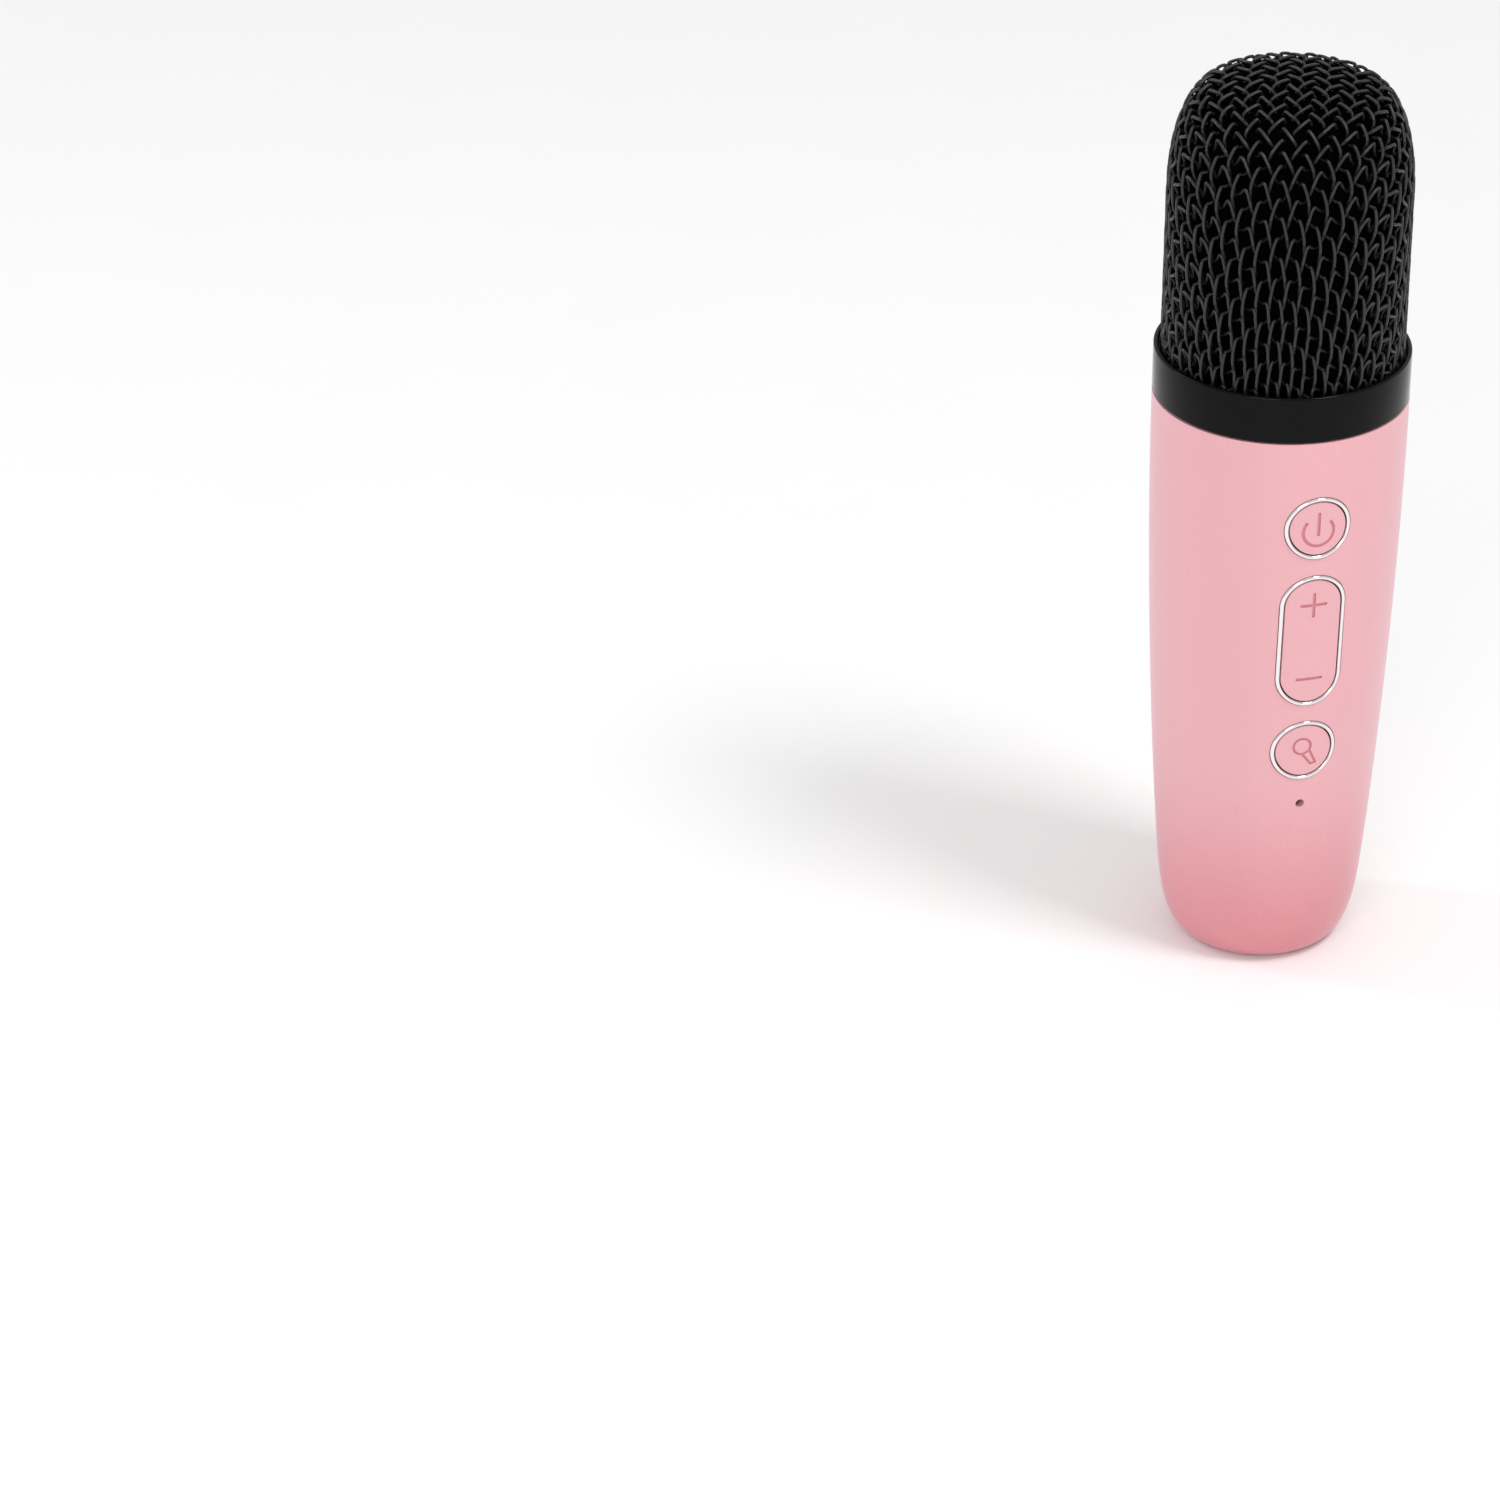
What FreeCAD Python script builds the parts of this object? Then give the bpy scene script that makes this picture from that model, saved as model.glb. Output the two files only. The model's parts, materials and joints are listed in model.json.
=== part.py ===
"""Wireless karaoke microphone: pink one-piece handle, screw-on grille head, three front controls.

Millimetres, +Z up, origin at the middle of the flat base. The controls face -Y.
Every function returns one piece, and main() writes each piece to its own file.
"""
import FreeCAD
import Part
import math
import os

V = FreeCAD.Vector
UP = V(0, 0, 1)
FRONT = V(0, -1, 0)

# Overall size
TOTAL_HEIGHT = 144.5
COLLAR_RADIUS = 19.5
SHOULDER_Z = 93.5
COLLAR_HEIGHT = 7.3

# Handle: a rounded base corner that runs into one long curve up to the collar
BASE_RADIUS = 10.4
BASE_PLATE_RADIUS = 9.0
CORNER_RADIUS_REACH = 4.3
CORNER_HEIGHT_REACH = 6.7
CORNER_TOP = (16.1, 14.0)
CORNER_SLOPE = 0.085
SIDE_LOW_REACH = 24.3
SIDE_HIGH_REACH = 24.7
WALL = 1.7
NECK_RADIUS = 16.9
NECK_BORE = 14.2
NECK_TOP = 99.6
NECK_ROOF = 1.6
RIB_TOP = 12.0
RIB_THICKNESS = 1.2

# Head
SEAL_THICKNESS = 0.3
RUNNING_GAP = 0.05
SEAT_Z = SHOULDER_Z + 4.1
SEAT_RADIUS = 18.7
COLLAR_CHAMFER = 0.35
GRILLE_RADIUS = 18.5
GRILLE_THICKNESS = 1.2
RIM_HEIGHT = 1.8
DOME_START = 126.5
DOME_SHOULDER = (12.6, 143.1)
DOME_SHOULDER_SLOPE = 0.2
ROUND_SHARE = 0.5523
FOAM_GAP = 0.2
FOAM_THICKNESS = 3.8

# Front controls
POWER_Z = 79.2
VOLUME_Z = 59.75
EFFECT_Z = 40.3
PINHOLE_Z = 30.6
PINHOLE_RADIUS = 0.7
TRIM_RADIUS = 5.25
TRIM_WIDTH = 0.65
TRIM_PROUD = 0.25
TRIM_FIT = 0.04
VOLUME_HALF_PITCH = 6.15
CAP_GAP = 0.22
CAP_PROUD = 0.05
FLANGE_RADIUS = 5.9
FLANGE_THICKNESS = 0.8
FLANGE_CLEARANCE = 0.35
STEM_RADIUS = 1.5
ICON_DEPTH = 0.16
ICON_LINE = 0.5
FRONT_REACH = -(COLLAR_RADIUS + 2)
CONTROLS = (("power", POWER_Z, 0.0), ("volume", VOLUME_Z, VOLUME_HALF_PITCH), ("effect", EFFECT_Z, 0.0))

# Main board and switches
BOARD_FRONT = -9.2
BOARD_THICKNESS = 1.2
BOARD_HALF_WIDTH = 9.0
BOARD_BOTTOM = 20.0
BOARD_TOP = 90.0
SWITCH_SIZE = 6.0
SWITCH_BODY = 3.4
PLUNGER_RADIUS = 1.7
PLUNGER_TRAVEL = 0.25
PLUNGER_PROUD = 0.9
CONTACT_GAP = 0.02
NUB_RADIUS = 0.6
NUB_HEIGHT = 0.3
ROCKER_SWITCH_OFFSET = 6.5
ROCKER_PIVOT_Y = -13.0
ROCKER_PIN_RADIUS = 0.6
ROCKER_EAR_X = 4.9
ROCKER_EAR_WIDTH = 1.1
ROCKER_BOSS_RADIUS = 1.5
BRACKET_PEG_X = 6.6
BRACKET_PEG_RADIUS = 0.52
BRACKET_HOLE_RADIUS = 0.55
SWITCHES = (("power", POWER_Z), ("volume_up", VOLUME_Z + ROCKER_SWITCH_OFFSET),
            ("volume_down", VOLUME_Z - ROCKER_SWITCH_OFFSET), ("effect", EFFECT_Z))

# Chassis
DECK_FRONT = -4.4
DECK_THICKNESS = 1.4
DECK_HALF_WIDTH = 10.5
DECK_TOP = 86.0
FOOT_THICKNESS = 1.4
RAIL_THICKNESS = 1.2
RAIL_REACH = 2.5
STOP_X = 3.2
MOUNT_POST_X = 10.5
MOUNT_POST_Y = -1.5
MOUNT_POST_RADIUS = 2.4
MOUNT_POST_OVERLAP = 14.0
MOUNT_POST_DROP = 2.7
BOARD_POST_X = 6.6
BOARD_POST_Z = (24.5, 87.0)
BOARD_POST_RADIUS = 1.8
SCREW_HEAD_HEIGHT = 0.9
SCREW_SHANK = 0.8
SCREW_PILOT = 0.78

# Battery, a size 14500 cell
CELL_RADIUS = 7.0
CELL_LENGTH = 48.0
CELL_Y = 4.9
CELL_BOTTOM = 22.0
SLEEVE_THICKNESS = 0.12
PLUG_Y = BOARD_FRONT - 1.7
PLUG_BOTTOM = 83.0

# Microphone capsule
CARRIER_DISC_RADIUS = 16.4
CARRIER_DISC_THICKNESS = 1.6
PEDESTAL_RADIUS = 6.0
PEDESTAL_BORE = 4.6
CUP_RADIUS = 8.2
CUP_BORE = 7.0
CUP_FLOOR_Z = 114.0
CUP_TOP = 122.0
CAPSULE_RADIUS = 4.85
CAPSULE_BOTTOM = 117.0
CAPSULE_HEIGHT = 6.7

# Charging socket
CHARGE_BOARD_Z = 9.0
CHARGE_BOARD_THICKNESS = 1.0
SOCKET_WIDTH = 8.94
SOCKET_DEPTH = 3.26
SOCKET_WALL = 0.3
SOCKET_MOUTH_Z = 1.0
SOCKET_HOLE_GAP = 0.2
CHARGE_POST_X = 6.9
CHARGE_LEAD_Y = -6.0

# Wires
WIRE_RADIUS = 0.4
ARC_SHARE = 0.45

OUTLINE_TOLERANCE = 0.001


def box(x0, x1, y0, y1, z0, z1):
    """A block between two corners."""
    return Part.makeBox(x1 - x0, y1 - y0, z1 - z0, V(x0, y0, z0))


def rod(radius, start, end):
    """A round bar from one point to another."""
    along = end - start
    return Part.makeCylinder(radius, along.Length, start, along)


def ring(outer, inner, z0, z1):
    """An upright tube about the main axis."""
    return rod(outer, V(0, 0, z0), V(0, 0, z1)).cut(rod(inner, V(0, 0, z0 - 1), V(0, 0, z1 + 1)))


def line(start, end):
    """A straight edge between two (radius, height) points."""
    return Part.LineSegment(V(start[0], 0, start[1]), V(end[0], 0, end[1])).toShape()


def revolved(edges):
    """Turn a closed outline about the main axis."""
    face = Part.Face(Part.Wire(edges))
    return face.revolve(V(0, 0, 0), UP, 360)


def revolved_polygon(points):
    """Turn a closed outline of (radius, height) corners about the main axis."""
    following = points[1:] + points[:1]
    return revolved([line(start, end) for start, end in zip(points, following)])


def bezier(points):
    """A cubic curve from four (radius, height) points."""
    curve = Part.BezierCurve()
    curve.setPoles([V(r, 0, z) for r, z in points])
    return curve


def moved_inward(curve, distance):
    """The curve parallel to another, nearer the main axis by a distance."""
    ends = []
    for parameter in (curve.FirstParameter, curve.LastParameter):
        tangent = curve.tangent(parameter)[0]
        ends.append(curve.value(parameter) + V(-tangent.z, 0, tangent.x) * distance)
    offset = Part.OffsetCurve(curve, distance, V(0, 1, 0))
    if offset.value(offset.FirstParameter).distanceToPoint(ends[0]) > abs(distance):
        offset = Part.OffsetCurve(curve, -distance, V(0, 1, 0))
    smooth = offset.approximateBSpline(OUTLINE_TOLERANCE, 30, 5)
    smooth.setPole(1, ends[0])
    smooth.setPole(smooth.NbPoles, ends[1])
    return smooth


def handle_curves():
    """The base corner and the long side of the handle's outline."""
    top_r, top_z = CORNER_TOP
    corner = ((BASE_RADIUS, 0.0), (BASE_RADIUS + CORNER_RADIUS_REACH, 0.0),
              (top_r - CORNER_SLOPE * CORNER_HEIGHT_REACH, top_z - CORNER_HEIGHT_REACH), CORNER_TOP)
    side = (CORNER_TOP, (top_r + CORNER_SLOPE * SIDE_LOW_REACH, top_z + SIDE_LOW_REACH),
            (COLLAR_RADIUS, SHOULDER_Z - SIDE_HIGH_REACH), (COLLAR_RADIUS, SHOULDER_Z))
    return [bezier(corner), bezier(side)]


def dome_curves():
    """The shoulder and the crown of the grille's outline."""
    shoulder_r, shoulder_z = DOME_SHOULDER
    rise = (shoulder_z - DOME_START) * ROUND_SHARE
    run = (GRILLE_RADIUS - shoulder_r) * ROUND_SHARE
    crown_run = shoulder_r / 3
    shoulder = ((GRILLE_RADIUS, DOME_START), (GRILLE_RADIUS, DOME_START + rise),
                (shoulder_r + run, shoulder_z - run * DOME_SHOULDER_SLOPE), DOME_SHOULDER)
    crown = (DOME_SHOULDER, (shoulder_r - crown_run, shoulder_z + crown_run * DOME_SHOULDER_SLOPE),
             (crown_run, TOTAL_HEIGHT), (0.0, TOTAL_HEIGHT))
    return [bezier(shoulder), bezier(crown)]


def form_inside(curves, inward, bottom=None):
    """The solid inside an outline moved inward; its floor is at the outline's start or at bottom."""
    if inward:
        curves = [moved_inward(curve, inward) for curve in curves]
    start = curves[0].value(curves[0].FirstParameter)
    end = curves[-1].value(curves[-1].LastParameter)
    floor = start.z if bottom is None else bottom
    edges = [line((0, floor), (start.x, floor))]
    if bottom is not None:
        edges.append(line((start.x, floor), (start.x, start.z)))
    edges += [curve.toShape() for curve in curves]
    if end.x > OUTLINE_TOLERANCE:
        edges.append(line((end.x, end.z), (0, end.z)))
    edges.append(line((0, end.z), (0, floor)))
    return revolved(edges)


def handle_form(inward):
    """The solid inside the handle's outline moved inward, with a flat bottom and top."""
    return form_inside(handle_curves(), inward)


def handle_radius(height):
    """The handle's outer radius at a height, on its long side."""
    probe = Part.LineSegment(V(0, 0, height), V(COLLAR_RADIUS + 1, 0, height))
    return handle_curves()[1].intersectCC(probe)[0].X


def stadium(radius, half_pitch, middle_z, front, back):
    """A slot-shaped bar along Y: two half circles a pitch apart, or a round bar at pitch 0."""
    heights = (middle_z - half_pitch, middle_z + half_pitch)
    ends = [rod(radius, V(0, back, z), V(0, front, z)) for z in heights]
    if not half_pitch:
        return ends[0]
    middle = box(-radius, radius, front, back, *heights)
    return ends[0].fuse([middle, ends[1]]).removeSplitter()


def handle_tube():
    """The handle with its threaded neck, control openings and the opening for its base plate."""
    body = handle_form(0)
    neck = ring(NECK_RADIUS, NECK_BORE, SHOULDER_Z, NECK_TOP)
    hollow = handle_form(WALL)
    roof = ring(COLLAR_RADIUS - WALL, NECK_BORE, SHOULDER_Z - NECK_ROOF, SHOULDER_Z)
    body = body.cut(hollow).cut(rod(NECK_BORE, V(0, 0, SHOULDER_Z - 5), V(0, 0, SHOULDER_Z + 1)))
    body = body.fuse([neck, roof]).removeSplitter()
    for angle, inner in ((0, 10.6), (90, 7.6), (180, 10.6), (270, 7.6)):
        rib = box(inner, COLLAR_RADIUS, -RIB_THICKNESS / 2, RIB_THICKNESS / 2, WALL, RIB_TOP)
        rib.rotate(V(0, 0, 0), UP, angle)
        body = body.fuse(rib.common(handle_form(WALL / 2)))
    for _, middle, half_pitch in CONTROLS:
        body = body.cut(stadium(TRIM_RADIUS + TRIM_FIT, half_pitch, middle, FRONT_REACH, -NECK_BORE))
    body = body.cut(rod(PINHOLE_RADIUS, V(0, -NECK_BORE, PINHOLE_Z), V(0, FRONT_REACH, PINHOLE_Z)))
    body = body.cut(rod(BASE_PLATE_RADIUS, V(0, 0, -1), V(0, 0, WALL)))
    for x, y in carrier_screw_places():
        body = body.cut(rod(SCREW_PILOT, V(x, y, NECK_TOP - 5), V(x, y, NECK_TOP + 1)))
    return body.removeSplitter()


def base_plate():
    """Flush round plate in the handle's flat end, with the charging socket's opening."""
    plate = rod(BASE_PLATE_RADIUS, V(0, 0, 0), V(0, 0, WALL))
    return plate.cut(socket_outline(SOCKET_HOLE_GAP, -1, WALL + 1))


def carrier_screw_places():
    """Three screws in the thickness of the neck."""
    reach = (NECK_RADIUS + NECK_BORE) / 2 - 0.1
    angles = [math.radians(turn) for turn in (90, 210, 330)]
    return [(reach * math.cos(a), reach * math.sin(a)) for a in angles]


def head_seal():
    """Rubber washer that rises with the collar without turning."""
    return ring(COLLAR_RADIUS - 0.5, NECK_RADIUS + 0.3, SHOULDER_Z, SHOULDER_Z + SEAL_THICKNESS)


def collar_ring():
    """Gloss ring with the thread bore below and the grille seat above."""
    bottom = SHOULDER_Z + SEAL_THICKNESS + CONTACT_GAP
    top = SHOULDER_Z + SEAL_THICKNESS + COLLAR_HEIGHT
    thread = NECK_RADIUS + RUNNING_GAP
    cut = COLLAR_CHAMFER
    points = ((thread, bottom), (COLLAR_RADIUS, bottom), (COLLAR_RADIUS, top - cut),
              (COLLAR_RADIUS - cut, top), (SEAT_RADIUS + cut / 3, top), (SEAT_RADIUS, top - cut),
              (SEAT_RADIUS, SEAT_Z), (thread, SEAT_Z))
    return revolved_polygon(points)


def grille_rim():
    """Steel ring that holds the end of the wire cloth in the collar."""
    return ring(SEAT_RADIUS - 0.05, GRILLE_RADIUS - GRILLE_THICKNESS - 0.05, SEAT_Z, SEAT_Z + RIM_HEIGHT)


def dome(inward, bottom):
    """The solid inside the grille's outline moved inward."""
    return form_inside(dome_curves(), inward, bottom)


def grille_mesh():
    """The domed wire cloth, as a shell as thick as its weave."""
    bottom = SEAT_Z + RIM_HEIGHT
    return dome(0, bottom).cut(dome(GRILLE_THICKNESS, bottom - 1))


def foam_windscreen():
    """Foam lining of the grille."""
    bottom = NECK_TOP + CARRIER_DISC_THICKNESS + SCREW_HEAD_HEIGHT + 0.3
    outside = GRILLE_THICKNESS + FOAM_GAP
    return dome(outside, bottom).cut(dome(outside + FOAM_THICKNESS, bottom - 1))


def capsule_carrier():
    """Plate on the neck with a hollow pedestal and a cup for the capsule."""
    disc_top = NECK_TOP + CARRIER_DISC_THICKNESS
    disc = rod(CARRIER_DISC_RADIUS, V(0, 0, NECK_TOP), V(0, 0, disc_top))
    spigot = ring(NECK_BORE - 0.1, NECK_BORE - 1.2, NECK_TOP - 2.6, NECK_TOP)
    pedestal = rod(PEDESTAL_RADIUS, V(0, 0, disc_top), V(0, 0, CUP_FLOOR_Z))
    cup = rod(CUP_RADIUS, V(0, 0, CUP_FLOOR_Z - 1.2), V(0, 0, CUP_TOP))
    body = disc.fuse([spigot, pedestal, cup])
    for turn in range(4):
        gusset = box(PEDESTAL_RADIUS - 1, 12.0, -0.6, 0.6, disc_top - 0.2, disc_top + 5)
        bevel = Part.makeBox(12, 3, 12, V(0, -1.5, 0))
        bevel.rotate(V(0, 0, 0), V(0, 1, 0), -45)
        bevel.translate(V(12.0, 0, disc_top))
        gusset = gusset.cut(bevel)
        gusset.rotate(V(0, 0, 0), UP, 45 + 90 * turn)
        body = body.fuse(gusset)
    body = body.cut(rod(CUP_BORE, V(0, 0, CUP_FLOOR_Z), V(0, 0, CUP_TOP + 1)))
    body = body.cut(rod(PEDESTAL_BORE, V(0, 0, NECK_TOP - 1), V(0, 0, CUP_FLOOR_Z + 1)))
    for x, y in carrier_screw_places():
        body = body.cut(rod(SCREW_SHANK + 0.05, V(x, y, NECK_TOP - 1), V(x, y, disc_top + 1)))
    return body.removeSplitter()


def capsule_boot():
    """Rubber cup that keeps handling noise out of the capsule."""
    outside = rod(CUP_BORE - 0.03, V(0, 0, CUP_FLOOR_Z), V(0, 0, CUP_TOP + 1.2))
    lip = rod(CUP_RADIUS - 0.2, V(0, 0, CUP_TOP), V(0, 0, CUP_TOP + 1.2))
    pocket = rod(CAPSULE_RADIUS + 0.03, V(0, 0, CAPSULE_BOTTOM - 1.0), V(0, 0, CUP_TOP + 3))
    wire_hole = rod(3.2, V(0, 0, CUP_FLOOR_Z - 1), V(0, 0, CAPSULE_BOTTOM))
    return outside.fuse(lip).cut(pocket).cut(wire_hole).removeSplitter()


def capsule_can():
    """Aluminium can of the electret capsule with its sound holes."""
    top = CAPSULE_BOTTOM + CAPSULE_HEIGHT
    can = rod(CAPSULE_RADIUS, V(0, 0, CAPSULE_BOTTOM), V(0, 0, top))
    can = can.cut(rod(CAPSULE_RADIUS - 0.4, V(0, 0, CAPSULE_BOTTOM - 1), V(0, 0, top - 0.4)))
    for turn in range(6):
        angle = math.radians(60 * turn)
        x = 2.2 * math.cos(angle)
        y = 2.2 * math.sin(angle)
        can = can.cut(rod(0.45, V(x, y, top - 1), V(x, y, top + 1)))
    return can


def capsule_felt():
    """Felt dust cover on the face of the capsule."""
    top = CAPSULE_BOTTOM + CAPSULE_HEIGHT
    return rod(CAPSULE_RADIUS - 0.2, V(0, 0, top), V(0, 0, top + 0.5))


def capsule_board():
    """Round circuit board that closes the back of the can."""
    return rod(CAPSULE_RADIUS - 0.45, V(0, 0, CAPSULE_BOTTOM), V(0, 0, CAPSULE_BOTTOM + 0.6))


def screw(place, direction, length, head_radius=1.45):
    """A small pan-head screw: place is under its head, direction is where its shank goes."""
    head = rod(head_radius, place - direction * SCREW_HEAD_HEIGHT, place)
    shank = rod(SCREW_PILOT - 0.03, place - direction * 0.1, place + direction * length)
    slot_one = Part.makeBox(0.35, 1.9, 0.5, V(-0.175, -0.95, -0.25))
    slot_two = Part.makeBox(1.9, 0.35, 0.5, V(-0.95, -0.175, -0.25))
    recess = slot_one.fuse(slot_two)
    recess.Placement = FreeCAD.Placement(place - direction * SCREW_HEAD_HEIGHT,
                                         FreeCAD.Rotation(UP, direction))
    return head.fuse(shank).cut(recess).removeSplitter()


def carrier_screws():
    """Screws that hold the capsule carrier down on the neck."""
    top = NECK_TOP + CARRIER_DISC_THICKNESS
    down = V(0, 0, -1)
    return Part.makeCompound([screw(V(x, y, top), down, 5.5, 1.2) for x, y in carrier_screw_places()])


def board_post_places():
    """Where the chassis carries the main board, as (x, z)."""
    return [(side * BOARD_POST_X, z) for side in (-1, 1) for z in BOARD_POST_Z]


def chassis():
    """Moulded inner frame: deck, battery rails, board posts, foot and mounting posts."""
    deck_back = DECK_FRONT + DECK_THICKNESS
    board_back = BOARD_FRONT + BOARD_THICKNESS
    cell_end = CELL_BOTTOM + CELL_LENGTH + 3.0
    rail_x = CELL_RADIUS + SLEEVE_THICKNESS + 0.5
    rail_outer = rail_x + RAIL_THICKNESS
    rail_back = CELL_Y + RAIL_REACH
    body = box(-DECK_HALF_WIDTH, DECK_HALF_WIDTH, DECK_FRONT, deck_back, RIB_TOP, DECK_TOP)
    pieces = [rod(11.0, V(0, 0, RIB_TOP), V(0, 0, RIB_TOP + FOOT_THICKNESS))
              .cut(box(-20, 20, -20, DECK_FRONT, 0, RIB_TOP * 2))]
    for side in (-1, 1):
        low, high = sorted((side * rail_x, side * rail_outer))
        pieces.append(box(low, high, deck_back, rail_back, RIB_TOP, cell_end + RAIL_THICKNESS))
        low, high = sorted((side * STOP_X, side * rail_outer))
        for z in (CELL_BOTTOM - 0.3 - RAIL_THICKNESS, cell_end):
            pieces.append(box(low, high, deck_back, rail_back, z, z + RAIL_THICKNESS))
        post_x = side * MOUNT_POST_X
        pieces.append(rod(MOUNT_POST_RADIUS, V(post_x, MOUNT_POST_Y, DECK_TOP - MOUNT_POST_OVERLAP),
                          V(post_x, MOUNT_POST_Y, NECK_TOP - MOUNT_POST_DROP)))
        foot_x = side * CHARGE_POST_X
        pieces.append(rod(BOARD_POST_RADIUS, V(foot_x, 0, CHARGE_BOARD_Z + CHARGE_BOARD_THICKNESS),
                          V(foot_x, 0, RIB_TOP + 0.5)))
    for x, z in board_post_places():
        pieces.append(rod(BOARD_POST_RADIUS, V(x, board_back, z), V(x, DECK_FRONT + 0.5, z)))
        pieces.append(box(x - 1.8, x + 1.8, DECK_FRONT, deck_back, z - 1.8, z + 1.8))
    body = body.fuse(pieces)
    for x, z in board_post_places():
        body = body.cut(rod(SCREW_PILOT, V(x, board_back - 1, z), V(x, DECK_FRONT + 0.6, z)))
    for side in (-1, 1):
        foot_x = side * CHARGE_POST_X
        body = body.cut(rod(SCREW_PILOT, V(foot_x, 0, 0), V(foot_x, 0, RIB_TOP + 0.9)))
    for z in (30, 46, 62):
        body = body.cut(box(-3, 3, DECK_FRONT - 1, deck_back + 1, z - 4, z + 4))
    return body.removeSplitter()


def main_board():
    """Circuit board with the screw holes and the two pin holes of the rocker bracket."""
    back = BOARD_FRONT + BOARD_THICKNESS
    board = box(-BOARD_HALF_WIDTH, BOARD_HALF_WIDTH, BOARD_FRONT, back, BOARD_BOTTOM, BOARD_TOP)
    corners = [edge for edge in board.Edges
               if abs(edge.Vertexes[0].Y - edge.Vertexes[-1].Y) > BOARD_THICKNESS / 2]
    board = board.makeFillet(1.5, corners)
    for x, z in board_post_places():
        board = board.cut(rod(SCREW_SHANK + 0.05, V(x, back + 1, z), V(x, BOARD_FRONT - 1, z)))
    for x in (-BRACKET_PEG_X, BRACKET_PEG_X):
        hole = rod(BRACKET_HOLE_RADIUS, V(x, back + 1, VOLUME_Z), V(x, BOARD_FRONT - 1, VOLUME_Z))
        board = board.cut(hole)
    return board


def board_screws():
    """Screws that hold the main board on the chassis."""
    return Part.makeCompound([screw(V(x, BOARD_FRONT, z), V(0, 1, 0), 3.8) for x, z in board_post_places()])


def switch_tip():
    """Where a plunger ends in front of the board."""
    return BOARD_FRONT - SWITCH_BODY - PLUNGER_PROUD


def switch_body(middle):
    """Square tactile switch housing with a round well for its plunger."""
    half = SWITCH_SIZE / 2
    front = BOARD_FRONT - SWITCH_BODY
    housing = box(-half, half, front + 0.25, BOARD_FRONT, middle - half, middle + half)
    lid = half - 0.15
    cover = box(-lid, lid, front, front + 0.25, middle - lid, middle + lid)
    well = rod(PLUNGER_RADIUS + RUNNING_GAP, V(0, BOARD_FRONT - 0.6, middle), V(0, front - 1, middle))
    studs = []
    for sx in (-1, 1):
        for sz in (-1, 1):
            foot = V(sx * (half - 0.75), front, middle + sz * (half - 0.75))
            studs.append(rod(0.35, foot, foot + FRONT * 0.15))
    return housing.fuse([cover] + studs).cut(well).removeSplitter()


def switch_plunger(middle):
    """Round plunger of a tactile switch."""
    back = BOARD_FRONT - 0.6 - PLUNGER_TRAVEL - 0.15
    body = rod(PLUNGER_RADIUS, V(0, back, middle), V(0, switch_tip(), middle))
    return body.makeChamfer(0.2, [max(body.Edges, key=lambda edge: -edge.CenterOfMass.y)])


def front_of_flange(middle, half_reach, radius):
    """The Y of a flat flange's front, clear of the handle's inner wall at its lowest edge."""
    inner = handle_radius(middle - half_reach) - WALL
    return -math.sqrt(inner ** 2 - radius ** 2) + FLANGE_CLEARANCE


def cap_stub(middle, half_pitch):
    """A button's cap with its flange, before its stems and icon."""
    radius = TRIM_RADIUS - TRIM_WIDTH - CAP_GAP
    flange_front = front_of_flange(middle, half_pitch + FLANGE_RADIUS, FLANGE_RADIUS)
    flange_back = flange_front + FLANGE_THICKNESS
    cap = stadium(radius, half_pitch, middle, FRONT_REACH, flange_front + 0.2)
    cap = cap.common(handle_form(-CAP_PROUD))
    flange = stadium(FLANGE_RADIUS, half_pitch, middle, flange_front, flange_back)
    return cap.fuse(flange).removeSplitter(), flange_back


def engraved(cap, strokes):
    """Cut an icon's strokes into a cap to an even depth below its curved face."""
    return cap.cut(strokes.cut(handle_form(ICON_DEPTH - CAP_PROUD)))


def stroke(x0, z0, x1, z1, width=ICON_LINE):
    """A round-ended line of an icon, as a bar along Y."""
    half = width / 2
    start = V(x0, FRONT_REACH, z0)
    end = V(x1, FRONT_REACH, z1)
    along = end - start
    side = V(-along.z, 0, along.x).normalize() * half
    corners = [start + side, end + side, end - side, start - side, start + side]
    depth = V(0, -FRONT_REACH - NECK_BORE, 0)
    bar = Part.Face(Part.makePolygon(corners)).extrude(depth)
    ends = [rod(half, place, place + depth) for place in (start, end)]
    return bar.fuse(ends)


def arc_stroke(radius, x, z, start_turn, end_turn, width=ICON_LINE):
    """An arc of an icon about (x, z), in degrees from +X towards +Z, as a bar along Y."""
    depth = -FRONT_REACH - NECK_BORE
    place = V(x, FRONT_REACH, z)
    back = V(0, 1, 0)
    outer = Part.makeCylinder(radius + width / 2, depth, place, back)
    inner = Part.makeCylinder(radius - width / 2, depth, place, back)
    band = outer.cut(inner)
    if end_turn - start_turn >= 360:
        return band
    reach = radius * 3
    middle = math.radians((start_turn + end_turn) / 2)
    fan = [place]
    for turn in (math.radians(start_turn), middle, math.radians(end_turn)):
        fan.append(place + V(math.cos(turn), 0, math.sin(turn)) * reach * 2)
    fan.append(place)
    keep = Part.Face(Part.makePolygon(fan)).extrude(V(0, depth, 0))
    return band.common(keep)


def power_icon():
    """Open circle with an upright bar."""
    left = arc_stroke(2.4, 0, POWER_Z - 0.5, -222, -90)
    right = arc_stroke(2.4, 0, POWER_Z - 0.5, -90, 42)
    bar = stroke(0, POWER_Z - 1.0, 0, POWER_Z + 2.5)
    return left.fuse([right, bar])


def volume_icon():
    """Plus at the top and minus at the bottom."""
    plus_z = VOLUME_Z + 6.3
    minus_z = VOLUME_Z - 6.6
    half = 1.9
    upright = stroke(0, plus_z - half, 0, plus_z + half)
    across = stroke(-half, plus_z, half, plus_z)
    minus = stroke(-half, minus_z, half, minus_z)
    return upright.fuse([across, minus])


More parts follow.
